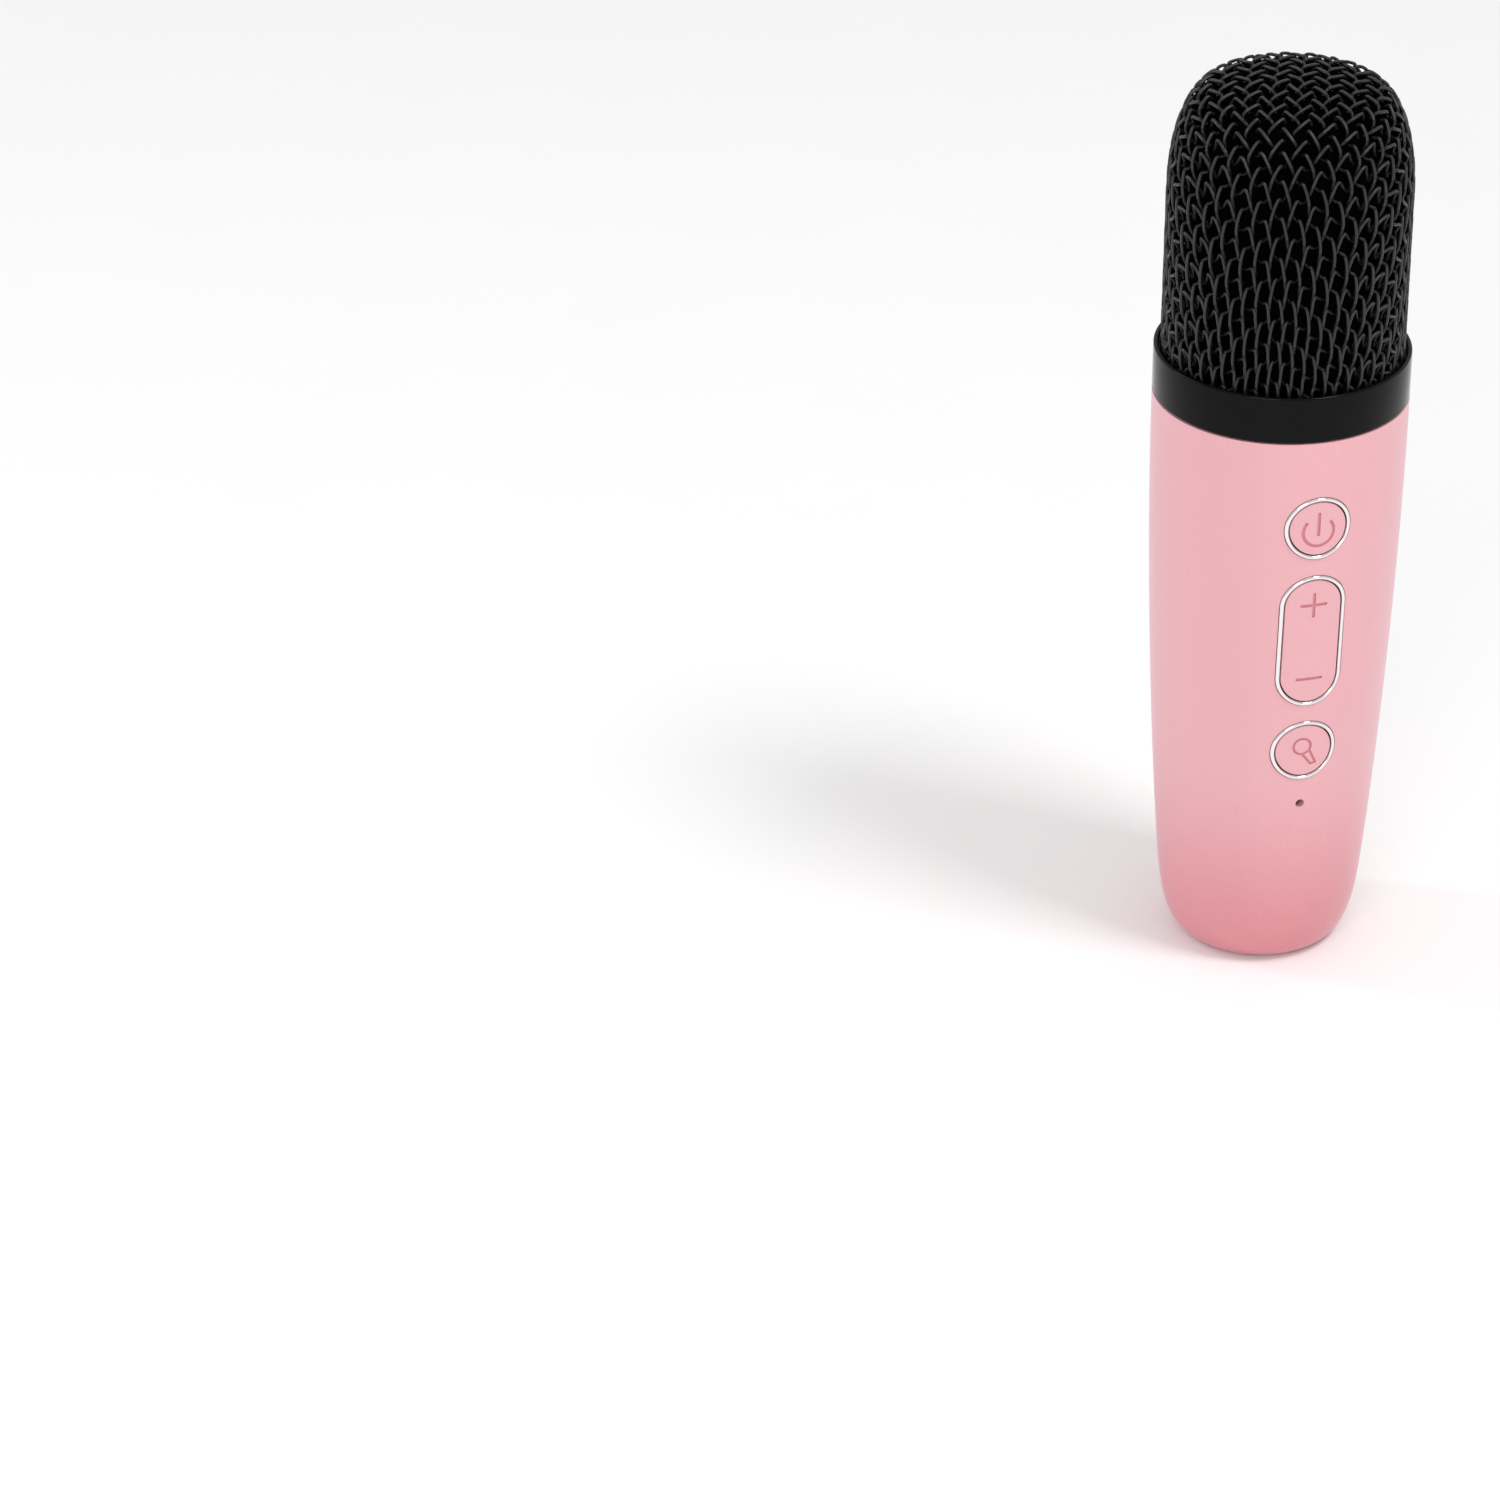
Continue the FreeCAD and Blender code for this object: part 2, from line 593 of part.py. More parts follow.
def effect_icon():
    """Outline of a handheld microphone, head up to the left and tail down to the right."""
    head_x = -0.35
    head_z = EFFECT_Z + 0.75
    head = arc_stroke(1.35, head_x, head_z, 0, 360, 0.4)
    left = stroke(head_x + 0.1, head_z - 1.45, 1.25, EFFECT_Z - 2.6, 0.4)
    right = stroke(head_x + 1.25, head_z - 0.85, 1.95, EFFECT_Z - 2.35, 0.4)
    tail = stroke(1.25, EFFECT_Z - 2.6, 1.95, EFFECT_Z - 2.35, 0.4)
    return head.fuse([left, right, tail])


def stem(middle, root_y):
    """The bar behind a cap, with a small nub that meets its plunger."""
    tip = switch_tip() - CONTACT_GAP
    bar = rod(STEM_RADIUS, V(0, root_y, middle), V(0, tip - NUB_HEIGHT, middle))
    nub = rod(NUB_RADIUS, V(0, root_y, middle), V(0, tip, middle))
    return bar.fuse(nub)


def push_button(middle, icon):
    """A round cap with a flange, a stem behind it and an icon in its face."""
    cap, flange_back = cap_stub(middle, 0.0)
    return engraved(cap.fuse(stem(middle, flange_back - 0.1)), icon).removeSplitter()


def pivot_rod(radius, left, right):
    """A bar along the rocker's pivot line."""
    return rod(radius, V(left, ROCKER_PIVOT_Y, VOLUME_Z), V(right, ROCKER_PIVOT_Y, VOLUME_Z))


def volume_rocker():
    """The long cap, with two stems and the boss that its pin goes through."""
    rocker, flange_back = cap_stub(VOLUME_Z, VOLUME_HALF_PITCH)
    pieces = [stem(VOLUME_Z + side * ROCKER_SWITCH_OFFSET, flange_back - 0.1) for side in (-1, 1)]
    reach = ROCKER_EAR_X - 0.2
    low = VOLUME_Z - ROCKER_BOSS_RADIUS
    high = VOLUME_Z + ROCKER_BOSS_RADIUS
    pieces.append(pivot_rod(ROCKER_BOSS_RADIUS, -reach, reach))
    pieces.append(box(-reach, reach, flange_back - 0.1, ROCKER_PIVOT_Y, low, high))
    rocker = rocker.fuse(pieces).cut(pivot_rod(ROCKER_PIN_RADIUS + RUNNING_GAP, -reach - 1, reach + 1))
    return engraved(rocker, volume_icon()).removeSplitter()


def rocker_bracket():
    """Moulded bracket on the board whose two ears carry the rocker's pin."""
    outer = ROCKER_EAR_X + ROCKER_EAR_WIDTH
    foot = outer + 1.8
    base = box(-foot, foot, BOARD_FRONT - 0.9, BOARD_FRONT, VOLUME_Z - 2.6, VOLUME_Z + 2.6)
    back = BOARD_FRONT + BOARD_THICKNESS
    half = ROCKER_EAR_WIDTH
    pieces = []
    for side in (-1, 1):
        low, high = sorted((side * ROCKER_EAR_X, side * outer))
        pieces.append(box(low, high, ROCKER_PIVOT_Y, BOARD_FRONT, VOLUME_Z - half, VOLUME_Z + half))
        pieces.append(pivot_rod(half, low, high))
        peg_x = side * BRACKET_PEG_X
        pieces.append(rod(BRACKET_PEG_RADIUS, V(peg_x, BOARD_FRONT - 0.1, VOLUME_Z),
                          V(peg_x, back, VOLUME_Z)))
    hole = pivot_rod(ROCKER_PIN_RADIUS + 0.01, -foot, foot)
    return base.fuse(pieces).cut(hole).removeSplitter()


def rocker_pin():
    """Steel pin through the ears and the rocker's boss."""
    reach = ROCKER_EAR_X + ROCKER_EAR_WIDTH + 0.1
    return pivot_rod(ROCKER_PIN_RADIUS, -reach, reach)


def trim(middle, half_pitch):
    """Chrome band around a control, which follows the handle's curve."""
    outer = stadium(TRIM_RADIUS, half_pitch, middle, FRONT_REACH, -NECK_BORE)
    inner = stadium(TRIM_RADIUS - TRIM_WIDTH, half_pitch, middle, FRONT_REACH - 1, -NECK_BORE + 1)
    skin = handle_form(-TRIM_PROUD).cut(handle_form(WALL))
    return outer.cut(inner).common(skin)


def status_led():
    """Indicator lamp on the board behind the pinhole."""
    return box(-0.4, 0.4, BOARD_FRONT - 0.7, BOARD_FRONT, PINHOLE_Z - 0.8, PINHOLE_Z + 0.8)


def light_pipe():
    """Clear rod that carries the lamp's light towards the pinhole."""
    skirt = rod(2.2, V(0, BOARD_FRONT, PINHOLE_Z), V(0, BOARD_FRONT - 1.2, PINHOLE_Z))
    pipe = rod(1.3, V(0, BOARD_FRONT - 1.0, PINHOLE_Z), V(0, -NECK_BORE + 0.4, PINHOLE_Z))
    pocket = rod(1.1, V(0, BOARD_FRONT + 1, PINHOLE_Z), V(0, BOARD_FRONT - 0.9, PINHOLE_Z))
    return skirt.fuse(pipe).cut(pocket).removeSplitter()


def chip(x, z, width, height, side, thickness=0.9):
    """A surface-mounted chip: side -1 is the board's front, 1 its back."""
    face = BOARD_FRONT if side < 0 else BOARD_FRONT + BOARD_THICKNESS
    low = min(face, face + side * thickness)
    return box(x - width / 2, x + width / 2, low, low + thickness, z - height / 2, z + height / 2)


def battery_socket():
    """Board connector for the battery leads."""
    shell = box(-3.4, 3.4, BOARD_FRONT - 3.4, BOARD_FRONT, PLUG_BOTTOM, PLUG_BOTTOM + 4.2)
    well = box(-2.6, 2.6, BOARD_FRONT - 2.8, BOARD_FRONT - 0.6, PLUG_BOTTOM + 0.8, PLUG_BOTTOM + 5)
    return shell.cut(well)


def battery_plug():
    """Plug on the battery leads, pushed into its socket."""
    return box(-2.5, 2.5, BOARD_FRONT - 2.7, BOARD_FRONT - 0.7, PLUG_BOTTOM + 0.8, PLUG_BOTTOM + 5.2)


def battery_cell():
    """Steel can of the cell with its raised terminal."""
    can = rod(CELL_RADIUS, V(0, CELL_Y, CELL_BOTTOM), V(0, CELL_Y, CELL_BOTTOM + CELL_LENGTH - 1.0))
    cap = rod(2.8, V(0, CELL_Y, CELL_BOTTOM + CELL_LENGTH - 1.2), V(0, CELL_Y, CELL_BOTTOM + CELL_LENGTH))
    return can.fuse(cap).removeSplitter()


def battery_sleeve():
    """Shrink sleeve round the cell."""
    top = CELL_BOTTOM + CELL_LENGTH - 1.0
    outer = rod(CELL_RADIUS + SLEEVE_THICKNESS, V(0, CELL_Y, CELL_BOTTOM), V(0, CELL_Y, top))
    return outer.cut(rod(CELL_RADIUS + 0.01, V(0, CELL_Y, CELL_BOTTOM - 1), V(0, CELL_Y, top + 1)))


def battery_pad():
    """Foam tape between the deck and the cell."""
    deck_back = DECK_FRONT + DECK_THICKNESS
    block = box(-5, 5, deck_back, CELL_Y, CELL_BOTTOM + 6, CELL_BOTTOM + CELL_LENGTH - 8)
    return block.cut(rod(CELL_RADIUS + SLEEVE_THICKNESS + 0.02, V(0, CELL_Y, 0), V(0, CELL_Y, 100)))


def protection_board():
    """Small board on top of the cell that guards it against overcharge."""
    low = CELL_BOTTOM + CELL_LENGTH
    return box(-5.5, 5.5, CELL_Y - 3.5, CELL_Y + 3.5, low, low + 0.8)


def socket_outline(gap, z0, z1):
    """The slot shape of the charging socket, larger by a gap, between two heights."""
    radius = SOCKET_DEPTH / 2 + gap
    half = (SOCKET_WIDTH - SOCKET_DEPTH) / 2
    ends = [rod(radius, V(side * half, 0, z0), V(side * half, 0, z1)) for side in (-1, 1)]
    return ends[0].fuse([box(-half, half, -radius, radius, z0, z1), ends[1]]).removeSplitter()


def usb_shell():
    """Steel shell of the charging socket."""
    outer = socket_outline(0, SOCKET_MOUTH_Z, CHARGE_BOARD_Z)
    return outer.cut(socket_outline(-SOCKET_WALL, SOCKET_MOUTH_Z - 1, CHARGE_BOARD_Z - 1.2))


def usb_tongue():
    """Contact tongue of the charging socket."""
    base_z = CHARGE_BOARD_Z - 1.2
    base = socket_outline(-SOCKET_WALL - 0.03, base_z - 1.5, base_z)
    tongue = box(-3.3, 3.3, -0.35, 0.35, SOCKET_MOUTH_Z + 0.8, base_z - 1.4)
    return base.fuse(tongue).removeSplitter()


def charge_board():
    """Board that carries the charging socket, screwed under the chassis foot."""
    top = CHARGE_BOARD_Z + CHARGE_BOARD_THICKNESS
    board = box(-9.0, 9.0, CHARGE_LEAD_Y - 1.0, 4.8, CHARGE_BOARD_Z, top)
    for side in (-1, 1):
        x = side * CHARGE_POST_X
        board = board.cut(rod(SCREW_SHANK + 0.05, V(x, 0, CHARGE_BOARD_Z - 1), V(x, 0, top + 1)))
    return board


def charge_board_screws():
    """Screws that hold the charging board on the chassis foot."""
    return Part.makeCompound([screw(V(side * CHARGE_POST_X, 0, CHARGE_BOARD_Z), V(0, 0, 1), 3.6)
                              for side in (-1, 1)])


def wire(points):
    """A round wire along straight runs joined by tangent arcs."""
    places = [V(*point) for point in points]
    edges = []
    start = places[0]
    for before, corner, after in zip(places, places[1:], places[2:]):
        into = (corner - before).normalize()
        out = (after - corner).normalize()
        reach = ARC_SHARE * min((corner - before).Length, (after - corner).Length)
        turn = into.getAngle(out)
        radius = reach / math.tan(turn / 2)
        print("wire radius %.2f mm" % radius)
        arc_start = corner - into * reach
        arc_end = corner + out * reach
        to_middle = (out - into).normalize()
        middle = corner + to_middle * (radius / math.cos(turn / 2) - radius)
        edges.append(Part.LineSegment(start, arc_start).toShape())
        edges.append(Part.Arc(arc_start, middle, arc_end).toShape())
        start = arc_end
    edges.append(Part.LineSegment(start, places[-1]).toShape())
    path = Part.Wire(edges)
    direction = places[1] - places[0]
    profile = Part.Wire(Part.makeCircle(WIRE_RADIUS, places[0], direction))
    tube = path.makePipeShell([profile], True, False)
    ideal = math.pi * WIRE_RADIUS ** 2 * path.Length
    print("wire volume %.2f of %.2f mm3" % (tube.Volume, ideal))
    return tube


def capsule_lead(side):
    """Wire from the capsule's board down to the top of the main board."""
    board_middle = BOARD_FRONT + BOARD_THICKNESS / 2
    return wire(((side * 1.27, 0, CAPSULE_BOTTOM), (side * 1.27, 0, 101.5),
                 (side * 4.4, board_middle, 96.0), (side * 4.4, board_middle, BOARD_TOP)))


def battery_lead(side):
    """Wire from the protection board over the deck to the battery plug."""
    x = side * 1.1
    return wire(((x, CELL_Y - 1.5, CELL_BOTTOM + CELL_LENGTH + 0.8), (x, CELL_Y - 1.5, 92.5),
                 (x, -3.8, 97.9), (x, PLUG_Y, 94.6), (x, PLUG_Y, PLUG_BOTTOM + 5.2)))


def charge_lead(side):
    """Wire from the charging board to the bottom of the main board."""
    board_middle = BOARD_FRONT + BOARD_THICKNESS / 2
    x = side * 3.0
    return wire(((x, CHARGE_LEAD_Y, CHARGE_BOARD_Z + CHARGE_BOARD_THICKNESS), (x, CHARGE_LEAD_Y, 13.4),
                 (x, board_middle, 16.6), (x, board_middle, BOARD_BOTTOM)))


def all_pieces():
    """Every node's name and shape."""
    pieces = {
        "handle_tube": handle_tube(),
        "base_plate": base_plate(),
        "head_seal": head_seal(),
        "collar_ring": collar_ring(),
        "grille_rim": grille_rim(),
        "grille_mesh": grille_mesh(),
        "foam_windscreen": foam_windscreen(),
        "capsule_carrier": capsule_carrier(),
        "capsule_boot": capsule_boot(),
        "capsule_can": capsule_can(),
        "capsule_felt": capsule_felt(),
        "capsule_board": capsule_board(),
        "carrier_screws": carrier_screws(),
        "chassis": chassis(),
        "main_board": main_board(),
        "board_screws": board_screws(),
        "power_button": push_button(POWER_Z, power_icon()),
        "effect_button": push_button(EFFECT_Z, effect_icon()),
        "volume_rocker": volume_rocker(),
        "rocker_bracket": rocker_bracket(),
        "rocker_pin": rocker_pin(),
        "status_led": status_led(),
        "light_pipe": light_pipe(),
        "audio_chip": chip(0.0, 68.0, 7.0, 7.0, 1),
        "radio_chip": chip(0.0, 38.0, 5.0, 5.0, 1),
        "clock_crystal": chip(0.0, 46.5, 3.2, 2.5, 1, 0.8),
        "chip_antenna": chip(0.0, 22.2, 7.0, 2.0, -1, 1.2),
        "battery_socket": battery_socket(),
        "battery_plug": battery_plug(),
        "battery_cell": battery_cell(),
        "battery_sleeve": battery_sleeve(),
        "battery_pad": battery_pad(),
        "protection_board": protection_board(),
        "usb_shell": usb_shell(),
        "usb_tongue": usb_tongue(),
        "charge_board": charge_board(),
        "charge_board_screws": charge_board_screws(),
    }
    for name, middle, half_pitch in CONTROLS:
        pieces[name + "_trim"] = trim(middle, half_pitch)
    for name, middle in SWITCHES:
        pieces[name + "_switch"] = switch_body(middle)
        pieces[name + "_plunger"] = switch_plunger(middle)
    for label, side in (("left", -1), ("right", 1)):
        pieces["capsule_lead_" + label] = capsule_lead(side)
        pieces["battery_lead_" + label] = battery_lead(side)
        pieces["charge_lead_" + label] = charge_lead(side)
    return pieces


def main():
    """Write every node to its own file."""
    os.makedirs("parts", exist_ok=True)
    for name, shape in sorted(all_pieces().items()):
        facts = (name, len(shape.Solids), shape.isValid(), shape.Volume)
        print("%-22s solids %d valid %s volume %.2f" % facts, flush=True)
        shape.exportStep("parts/" + name + ".step")


main()
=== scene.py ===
"""The looks of the karaoke microphone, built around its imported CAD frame.

Metres, +Z up, controls at -Y.
"""

import json
import math
import random

import bpy
import numpy as np
from mathutils import Matrix, Vector


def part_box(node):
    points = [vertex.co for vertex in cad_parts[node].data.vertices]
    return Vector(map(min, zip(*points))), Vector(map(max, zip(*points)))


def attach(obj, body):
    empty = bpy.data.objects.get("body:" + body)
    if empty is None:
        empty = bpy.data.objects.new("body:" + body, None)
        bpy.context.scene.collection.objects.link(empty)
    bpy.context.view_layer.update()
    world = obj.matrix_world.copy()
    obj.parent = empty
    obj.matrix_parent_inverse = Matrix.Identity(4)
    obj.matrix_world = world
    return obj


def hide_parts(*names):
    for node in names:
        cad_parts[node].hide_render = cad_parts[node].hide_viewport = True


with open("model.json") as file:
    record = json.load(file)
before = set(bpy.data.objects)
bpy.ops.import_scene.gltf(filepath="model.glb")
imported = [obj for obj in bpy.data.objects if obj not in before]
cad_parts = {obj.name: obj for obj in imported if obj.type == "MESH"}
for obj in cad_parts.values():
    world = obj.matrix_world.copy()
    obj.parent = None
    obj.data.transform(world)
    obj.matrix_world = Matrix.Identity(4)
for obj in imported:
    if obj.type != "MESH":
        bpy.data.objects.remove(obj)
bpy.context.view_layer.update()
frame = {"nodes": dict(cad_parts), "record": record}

MM = 0.001

# Camera: where it stands round the object, in the object's own frame
CONTROLS_TURN = math.radians(14.65)
CAMERA_PITCH = math.radians(29.35)
CAMERA_TO_BASE = 0.95361
BASE_RIGHT = 0.08038
BASE_DOWN = 0.02666
LENS = 143.82
SENSOR = 36.0

# Studio: a white floor, white surroundings and four lamps as (name, place, width, height, watts)
FLOOR_REACH = 6
WORLD_STRENGTH = 0.68
LAMP_TARGET = (0, 0, 0.07)
LAMPS = (
    ("key", (0.38, -0.42, 1.05), 0.3, 0.3, 5.2),
    ("fill", (-0.5, -0.75, 0.5), 0.4, 0.4, 2.4),
    ("left_strip", (-0.65, 0.38, 0.5), 0.07, 0.7, 1.1),
    ("right_strip", (0.62, 0.42, 0.5), 0.05, 0.7, 0.1),
)

# Outline of the handle, as in the CAD
COLLAR_RADIUS = 19.5 * MM
BASE_RADIUS = 10.4 * MM
CORNER_TOP = (16.1 * MM, 14.0 * MM)
CORNER_RADIUS_REACH = 4.3 * MM
CORNER_HEIGHT_REACH = 6.7 * MM
CORNER_SLOPE = 0.085
SIDE_LOW_REACH = 24.3 * MM
SIDE_HIGH_REACH = 24.7 * MM
SHOULDER_Z = 93.5 * MM

# Outline of the grille, as in the CAD
TOTAL_HEIGHT = 144.5 * MM
GRILLE_RADIUS = 18.5 * MM
DOME_START = 126.5 * MM
DOME_SHOULDER = (12.6 * MM, 143.1 * MM)
DOME_SHOULDER_SLOPE = 0.2
ROUND_SHARE = 0.5523

# Wire cloth: a square net laid diagonally over the dome; rows are counted down from the crown
WIRE_RADIUS = 0.275 * MM
CRIMP = 0.4 * MM
TOP_CRIMP = 0.62 * MM
FOAM_DEPTH = 1.0 * MM
# Wave heights where the wires change from lit paint to painted half shade and painted shade
LIT_PAINT_ABOVE = 0.9
SHADE_PAINT_BELOW = -0.3
FOAM_SKIRT = 2.8 * MM
FOAM_THICKNESS = 4.0 * MM
FOAM_ROUGHNESS = 0.06 * MM
FOAM_POLE = 0.02 * MM
FOAM_SIDES = 96
NET_TURN = math.radians(-22.3)
NET_ROWS = (0, 2.2, 4.4, 6.4, 7.4, 8.4, 9.4, 10.4, 11.4, 12.4, 13.4, 14.4, 15.4, 16.4)
NET_DEPTHS_MM = (0, 4.33, 8.66, 12.5, 14.36, 16.2, 18.1, 20.15, 22.45, 25.13, 28.0, 31.15, 34.42, 37.75)
SIDE_STEP = 3.35 * MM
FLAT_ROWS = 7.0
DRAWN_ROWS = 12.0
TURNOVER = math.radians(72)
WIRE_SIDES = 6

# Shape of one wave of a wire, from over a crossing (0) to under the next (1) and back (2): how far it
# stands out, sags after passing under, hooks over before the next crossing, and doubles back in the hook
HEIGHT_WAVE = ((0, 1.0), (0.3, 0.93), (0.6, 0.65), (0.82, -0.1), (1.0, -1.0), (1.15, -1.1), (1.28, -0.9),
               (1.36, -0.4), (1.44, 0.55), (1.54, 0.95), (1.7, 1.0), (2.0, 1.0))
SAG_WAVE = ((0, 0), (0.5, 0), (0.9, 0), (1.0, -0.08), (1.12, -0.6), (1.22, -0.8), (1.3, -0.6), (1.36, -0.2),
            (1.42, 0), (1.54, 0), (1.8, 0), (2.0, 0))
HOOK_WAVE = ((0, 0.1), (0.25, -0.02), (0.6, 0), (1.0, 0), (1.28, 0), (1.34, 0.2), (1.4, 0.65), (1.46, 0.97),
             (1.52, 1.05), (1.64, 0.85), (1.82, 0.45), (2.0, 0.1))
BACK_WAVE = ((0, 0), (0.5, 0), (1.0, 0), (1.26, 0), (1.32, -0.35), (1.38, -0.1), (1.44, 0.7), (1.48, 1.0),
             (1.55, 0.85), (1.67, 0.4), (1.85, 0.1), (2.0, 0))
# Where along one cell of the net a wire's centre line is worked out, closest together in the hook
CELL_STEPS = (0, 0.1, 0.2, 0.26, 0.31, 0.35, 0.39, 0.43, 0.47, 0.51, 0.55, 0.6, 0.65, 0.7, 0.75, 0.8,
              0.87, 0.94)

# Collar
COLLAR_BEVEL = 0.45 * MM
COLLAR_FOOT_BEVEL = 0.15 * MM
COLLAR_INNER_BEVEL = 0.05 * MM
COLLAR_WALL = 2.55 * MM
RIM_GAP = 0.05 * MM

# Chrome rings round the controls: (node, half of the pitch between their two round ends)
TRIM_RADIUS = 5.25 * MM
TRIM_WIDTH = 0.65 * MM
TRIM_PROUD = 0.25 * MM
TRIM_SHADOW_GAP = 0.06 * MM
TRIM_FOOT = 0.8 * MM
TRIM_ARC_STEPS = 10
TRIM_SHOULDER_POWER = 3.5
TRIM_EDGE_DROP = 0.9
VOLUME_HALF_PITCH = 6.15 * MM
TRIMS = (("power_trim", 0.0), ("volume_trim", VOLUME_HALF_PITCH), ("effect_trim", 0.0))
ENGRAVED_FROM = 0.02 * MM
ENGRAVED_TO = 0.3 * MM
ICON_REACH = 2.6 * MM

# Pink lacquer, as display colours from 0 to 255, with painted shade making it darker towards the base and in
# the sunk icons
PINK = (223, 166, 172)
# Painted shade: the darker pink that the lacquer takes at the base
PINK_PAINTED_BASE_SHADE = (211, 132, 140)
# Painted shade in the sunk faces of the icons
PINK_PAINTED_ICON_SHADE = (203, 126, 135)
GRAINS_PER_METRE = 3500
# Height up to which the painted shade fades out
PAINTED_SHADE_TOP = 38 * MM

# Black paint on the wires as (display colour, gloss): lit on top, painted shade darker and duller deeper in
# the cloth
WIRE_LIT_PAINT = ((25, 24, 25), 0.46)
WIRE_HALF_SHADE_PAINT = ((18, 17, 18), 0.26)
WIRE_SHADE_PAINT = ((8, 8, 8), 0.12)

# Plain finishes by material slot: (name, display colour, roughness, metallic, grain, other sockets), where
# grain is (grains per metre, bump, bump depth, colour spread, roughness spread)
PLAIN_FINISHES = {
    "black_gloss": ("collar_gloss", (9, 9, 9), 0.12, 0.0, (800, 0.0, 0.0, 0.2), {"Specular_IOR_Level": 0.1}),
    "rim_steel": ("rim_paint", (16, 16, 16), 0.4, 0.0, (4000, 0.1, 0.00002), {}),
    "black_rubber": ("rubber", (18, 18, 18), 0.7, 0.0, (3000, 0.15, 0.00003), {}),
    "black_plastic": ("moulded_black", (24, 24, 26), 0.5, 0.0, (5000, 0.1, 0.00002), {}),
    "white_plastic": ("nylon", (225, 220, 205), 0.45, 0.0, (4000, 0.05, 0.00002, 0.03), {}),
    "switch_plastic": ("switch_housing", (22, 22, 22), 0.5, 0.0, (5000, 0.1, 0.00002), {}),
    "plunger_plastic": ("plunger", (170, 60, 50), 0.45, 0.0, (5000, 0.1, 0.00002), {}),
    "chrome_trim": ("chrome", (236, 234, 234), 0.07, 1.0, (2500, 0.0, 0.0, 0.0, 0.02), {}),
    "capsule_aluminium": ("drawn_aluminium", (205, 205, 208), 0.3, 1.0, (3000, 0.05, 0.00002), {}),
    "felt": ("felt", (20, 20, 20), 0.95, 0.0, (4000, 0.6, 0.0002, 0.2), {}),
    "green_board": ("solder_mask", (20, 96, 50), 0.3, 0.0, (1500, 0.05, 0.00002, 0.15), {"Coat_Weight": 0.4}),
    "chip_black": ("chip_package", (28, 28, 28), 0.55, 0.0, (6000, 0.1, 0.00001), {}),
    "ceramic": ("ceramic", (215, 208, 190), 0.4, 0.0, (4000, 0.05, 0.00001, 0.05), {}),
    "steel": ("plated_steel", (200, 200, 200), 0.25, 1.0, (3000, 0.05, 0.00001, 0.0, 0.05), {}),
    "lamp": ("lamp_package", (225, 235, 245), 0.2, 0.0, (3000, 0.02, 0.00001, 0.02), {}),
    "clear_plastic": ("acrylic", (235, 238, 240), 0.1, 0.0, (2000, 0.02, 0.00001),
                      {"Transmission_Weight": 0.9}),
    "cell_metal": ("cell_can", (190, 190, 195), 0.3, 1.0, (3000, 0.05, 0.00001), {}),
    "sleeve_blue": ("shrink_sleeve", (40, 90, 170), 0.25, 0.0, (1500, 0.05, 0.00002, 0.05), {}),
    "wire_red": ("red_insulation", (185, 30, 28), 0.4, 0.0, (3000, 0.05, 0.00001, 0.05), {}),
    "wire_black": ("black_insulation", (20, 20, 20), 0.4, 0.0, (3000, 0.05, 0.00001, 0.1), {}),
}


def cubic(points, count):
    """Points along a cubic curve."""
    t = np.linspace(0.0, 1.0, count)[:, None]
    p = np.array(points, float)
    return (1 - t) ** 3 * p[0] + 3 * (1 - t) ** 2 * t * p[1] + 3 * (1 - t) * t ** 2 * p[2] + t ** 3 * p[3]


def handle_outline():
    """(radius, height) along the handle's outside, from the base flat to the collar."""
    top_r, top_z = CORNER_TOP
    corner_end = (top_r - CORNER_SLOPE * CORNER_HEIGHT_REACH, top_z - CORNER_HEIGHT_REACH)
    corner = cubic(((BASE_RADIUS, 0), (BASE_RADIUS + CORNER_RADIUS_REACH, 0), corner_end, CORNER_TOP), 60)
    side = cubic((CORNER_TOP, (top_r + CORNER_SLOPE * SIDE_LOW_REACH, top_z + SIDE_LOW_REACH),
                  (COLLAR_RADIUS, SHOULDER_Z - SIDE_HIGH_REACH), (COLLAR_RADIUS, SHOULDER_Z)), 200)
    return np.vstack((corner, side[1:]))


def dome_outline(inward=0.0):
    """(radius, height) from the crown outwards and down to the start of the straight side."""
    shoulder_r, shoulder_z = DOME_SHOULDER
    rise = (shoulder_z - DOME_START) * ROUND_SHARE
    run = (GRILLE_RADIUS - shoulder_r) * ROUND_SHARE
    third = shoulder_r / 3
    crown = cubic(((0, TOTAL_HEIGHT), (third, TOTAL_HEIGHT),
                   (shoulder_r - third, shoulder_z + third * DOME_SHOULDER_SLOPE), DOME_SHOULDER), 120)
    shoulder = cubic((DOME_SHOULDER, (shoulder_r + run, shoulder_z - run * DOME_SHOULDER_SLOPE),
                      (GRILLE_RADIUS, DOME_START + rise), (GRILLE_RADIUS, DOME_START)), 120)
    points = np.vstack((crown, shoulder[1:]))
    along = np.gradient(points, axis=0)
    along /= np.linalg.norm(along, axis=1)[:, None]
    moved = points - inward * np.column_stack((-along[:, 1], along[:, 0]))
    moved[0, 0] = 0.0
    return moved


def turned(point_r, point_z, angle):
    """A point at a radius and height, at an angle from the front towards +X."""
    return np.stack((point_r * np.sin(angle), -point_r * np.cos(angle), point_z), axis=-1)


def new_mesh(name, vertices, faces, smooth=True):
    """A mesh object from plain lists."""
    mesh = bpy.data.meshes.new(name)
    mesh.from_pydata([tuple(v) for v in vertices], [], faces)
    mesh.validate()
    mesh.update()
    piece = bpy.data.objects.new(name, mesh)
    bpy.context.scene.collection.objects.link(piece)
    if smooth:
        mesh.polygons.foreach_set("use_smooth", [True] * len(mesh.polygons))
    return piece


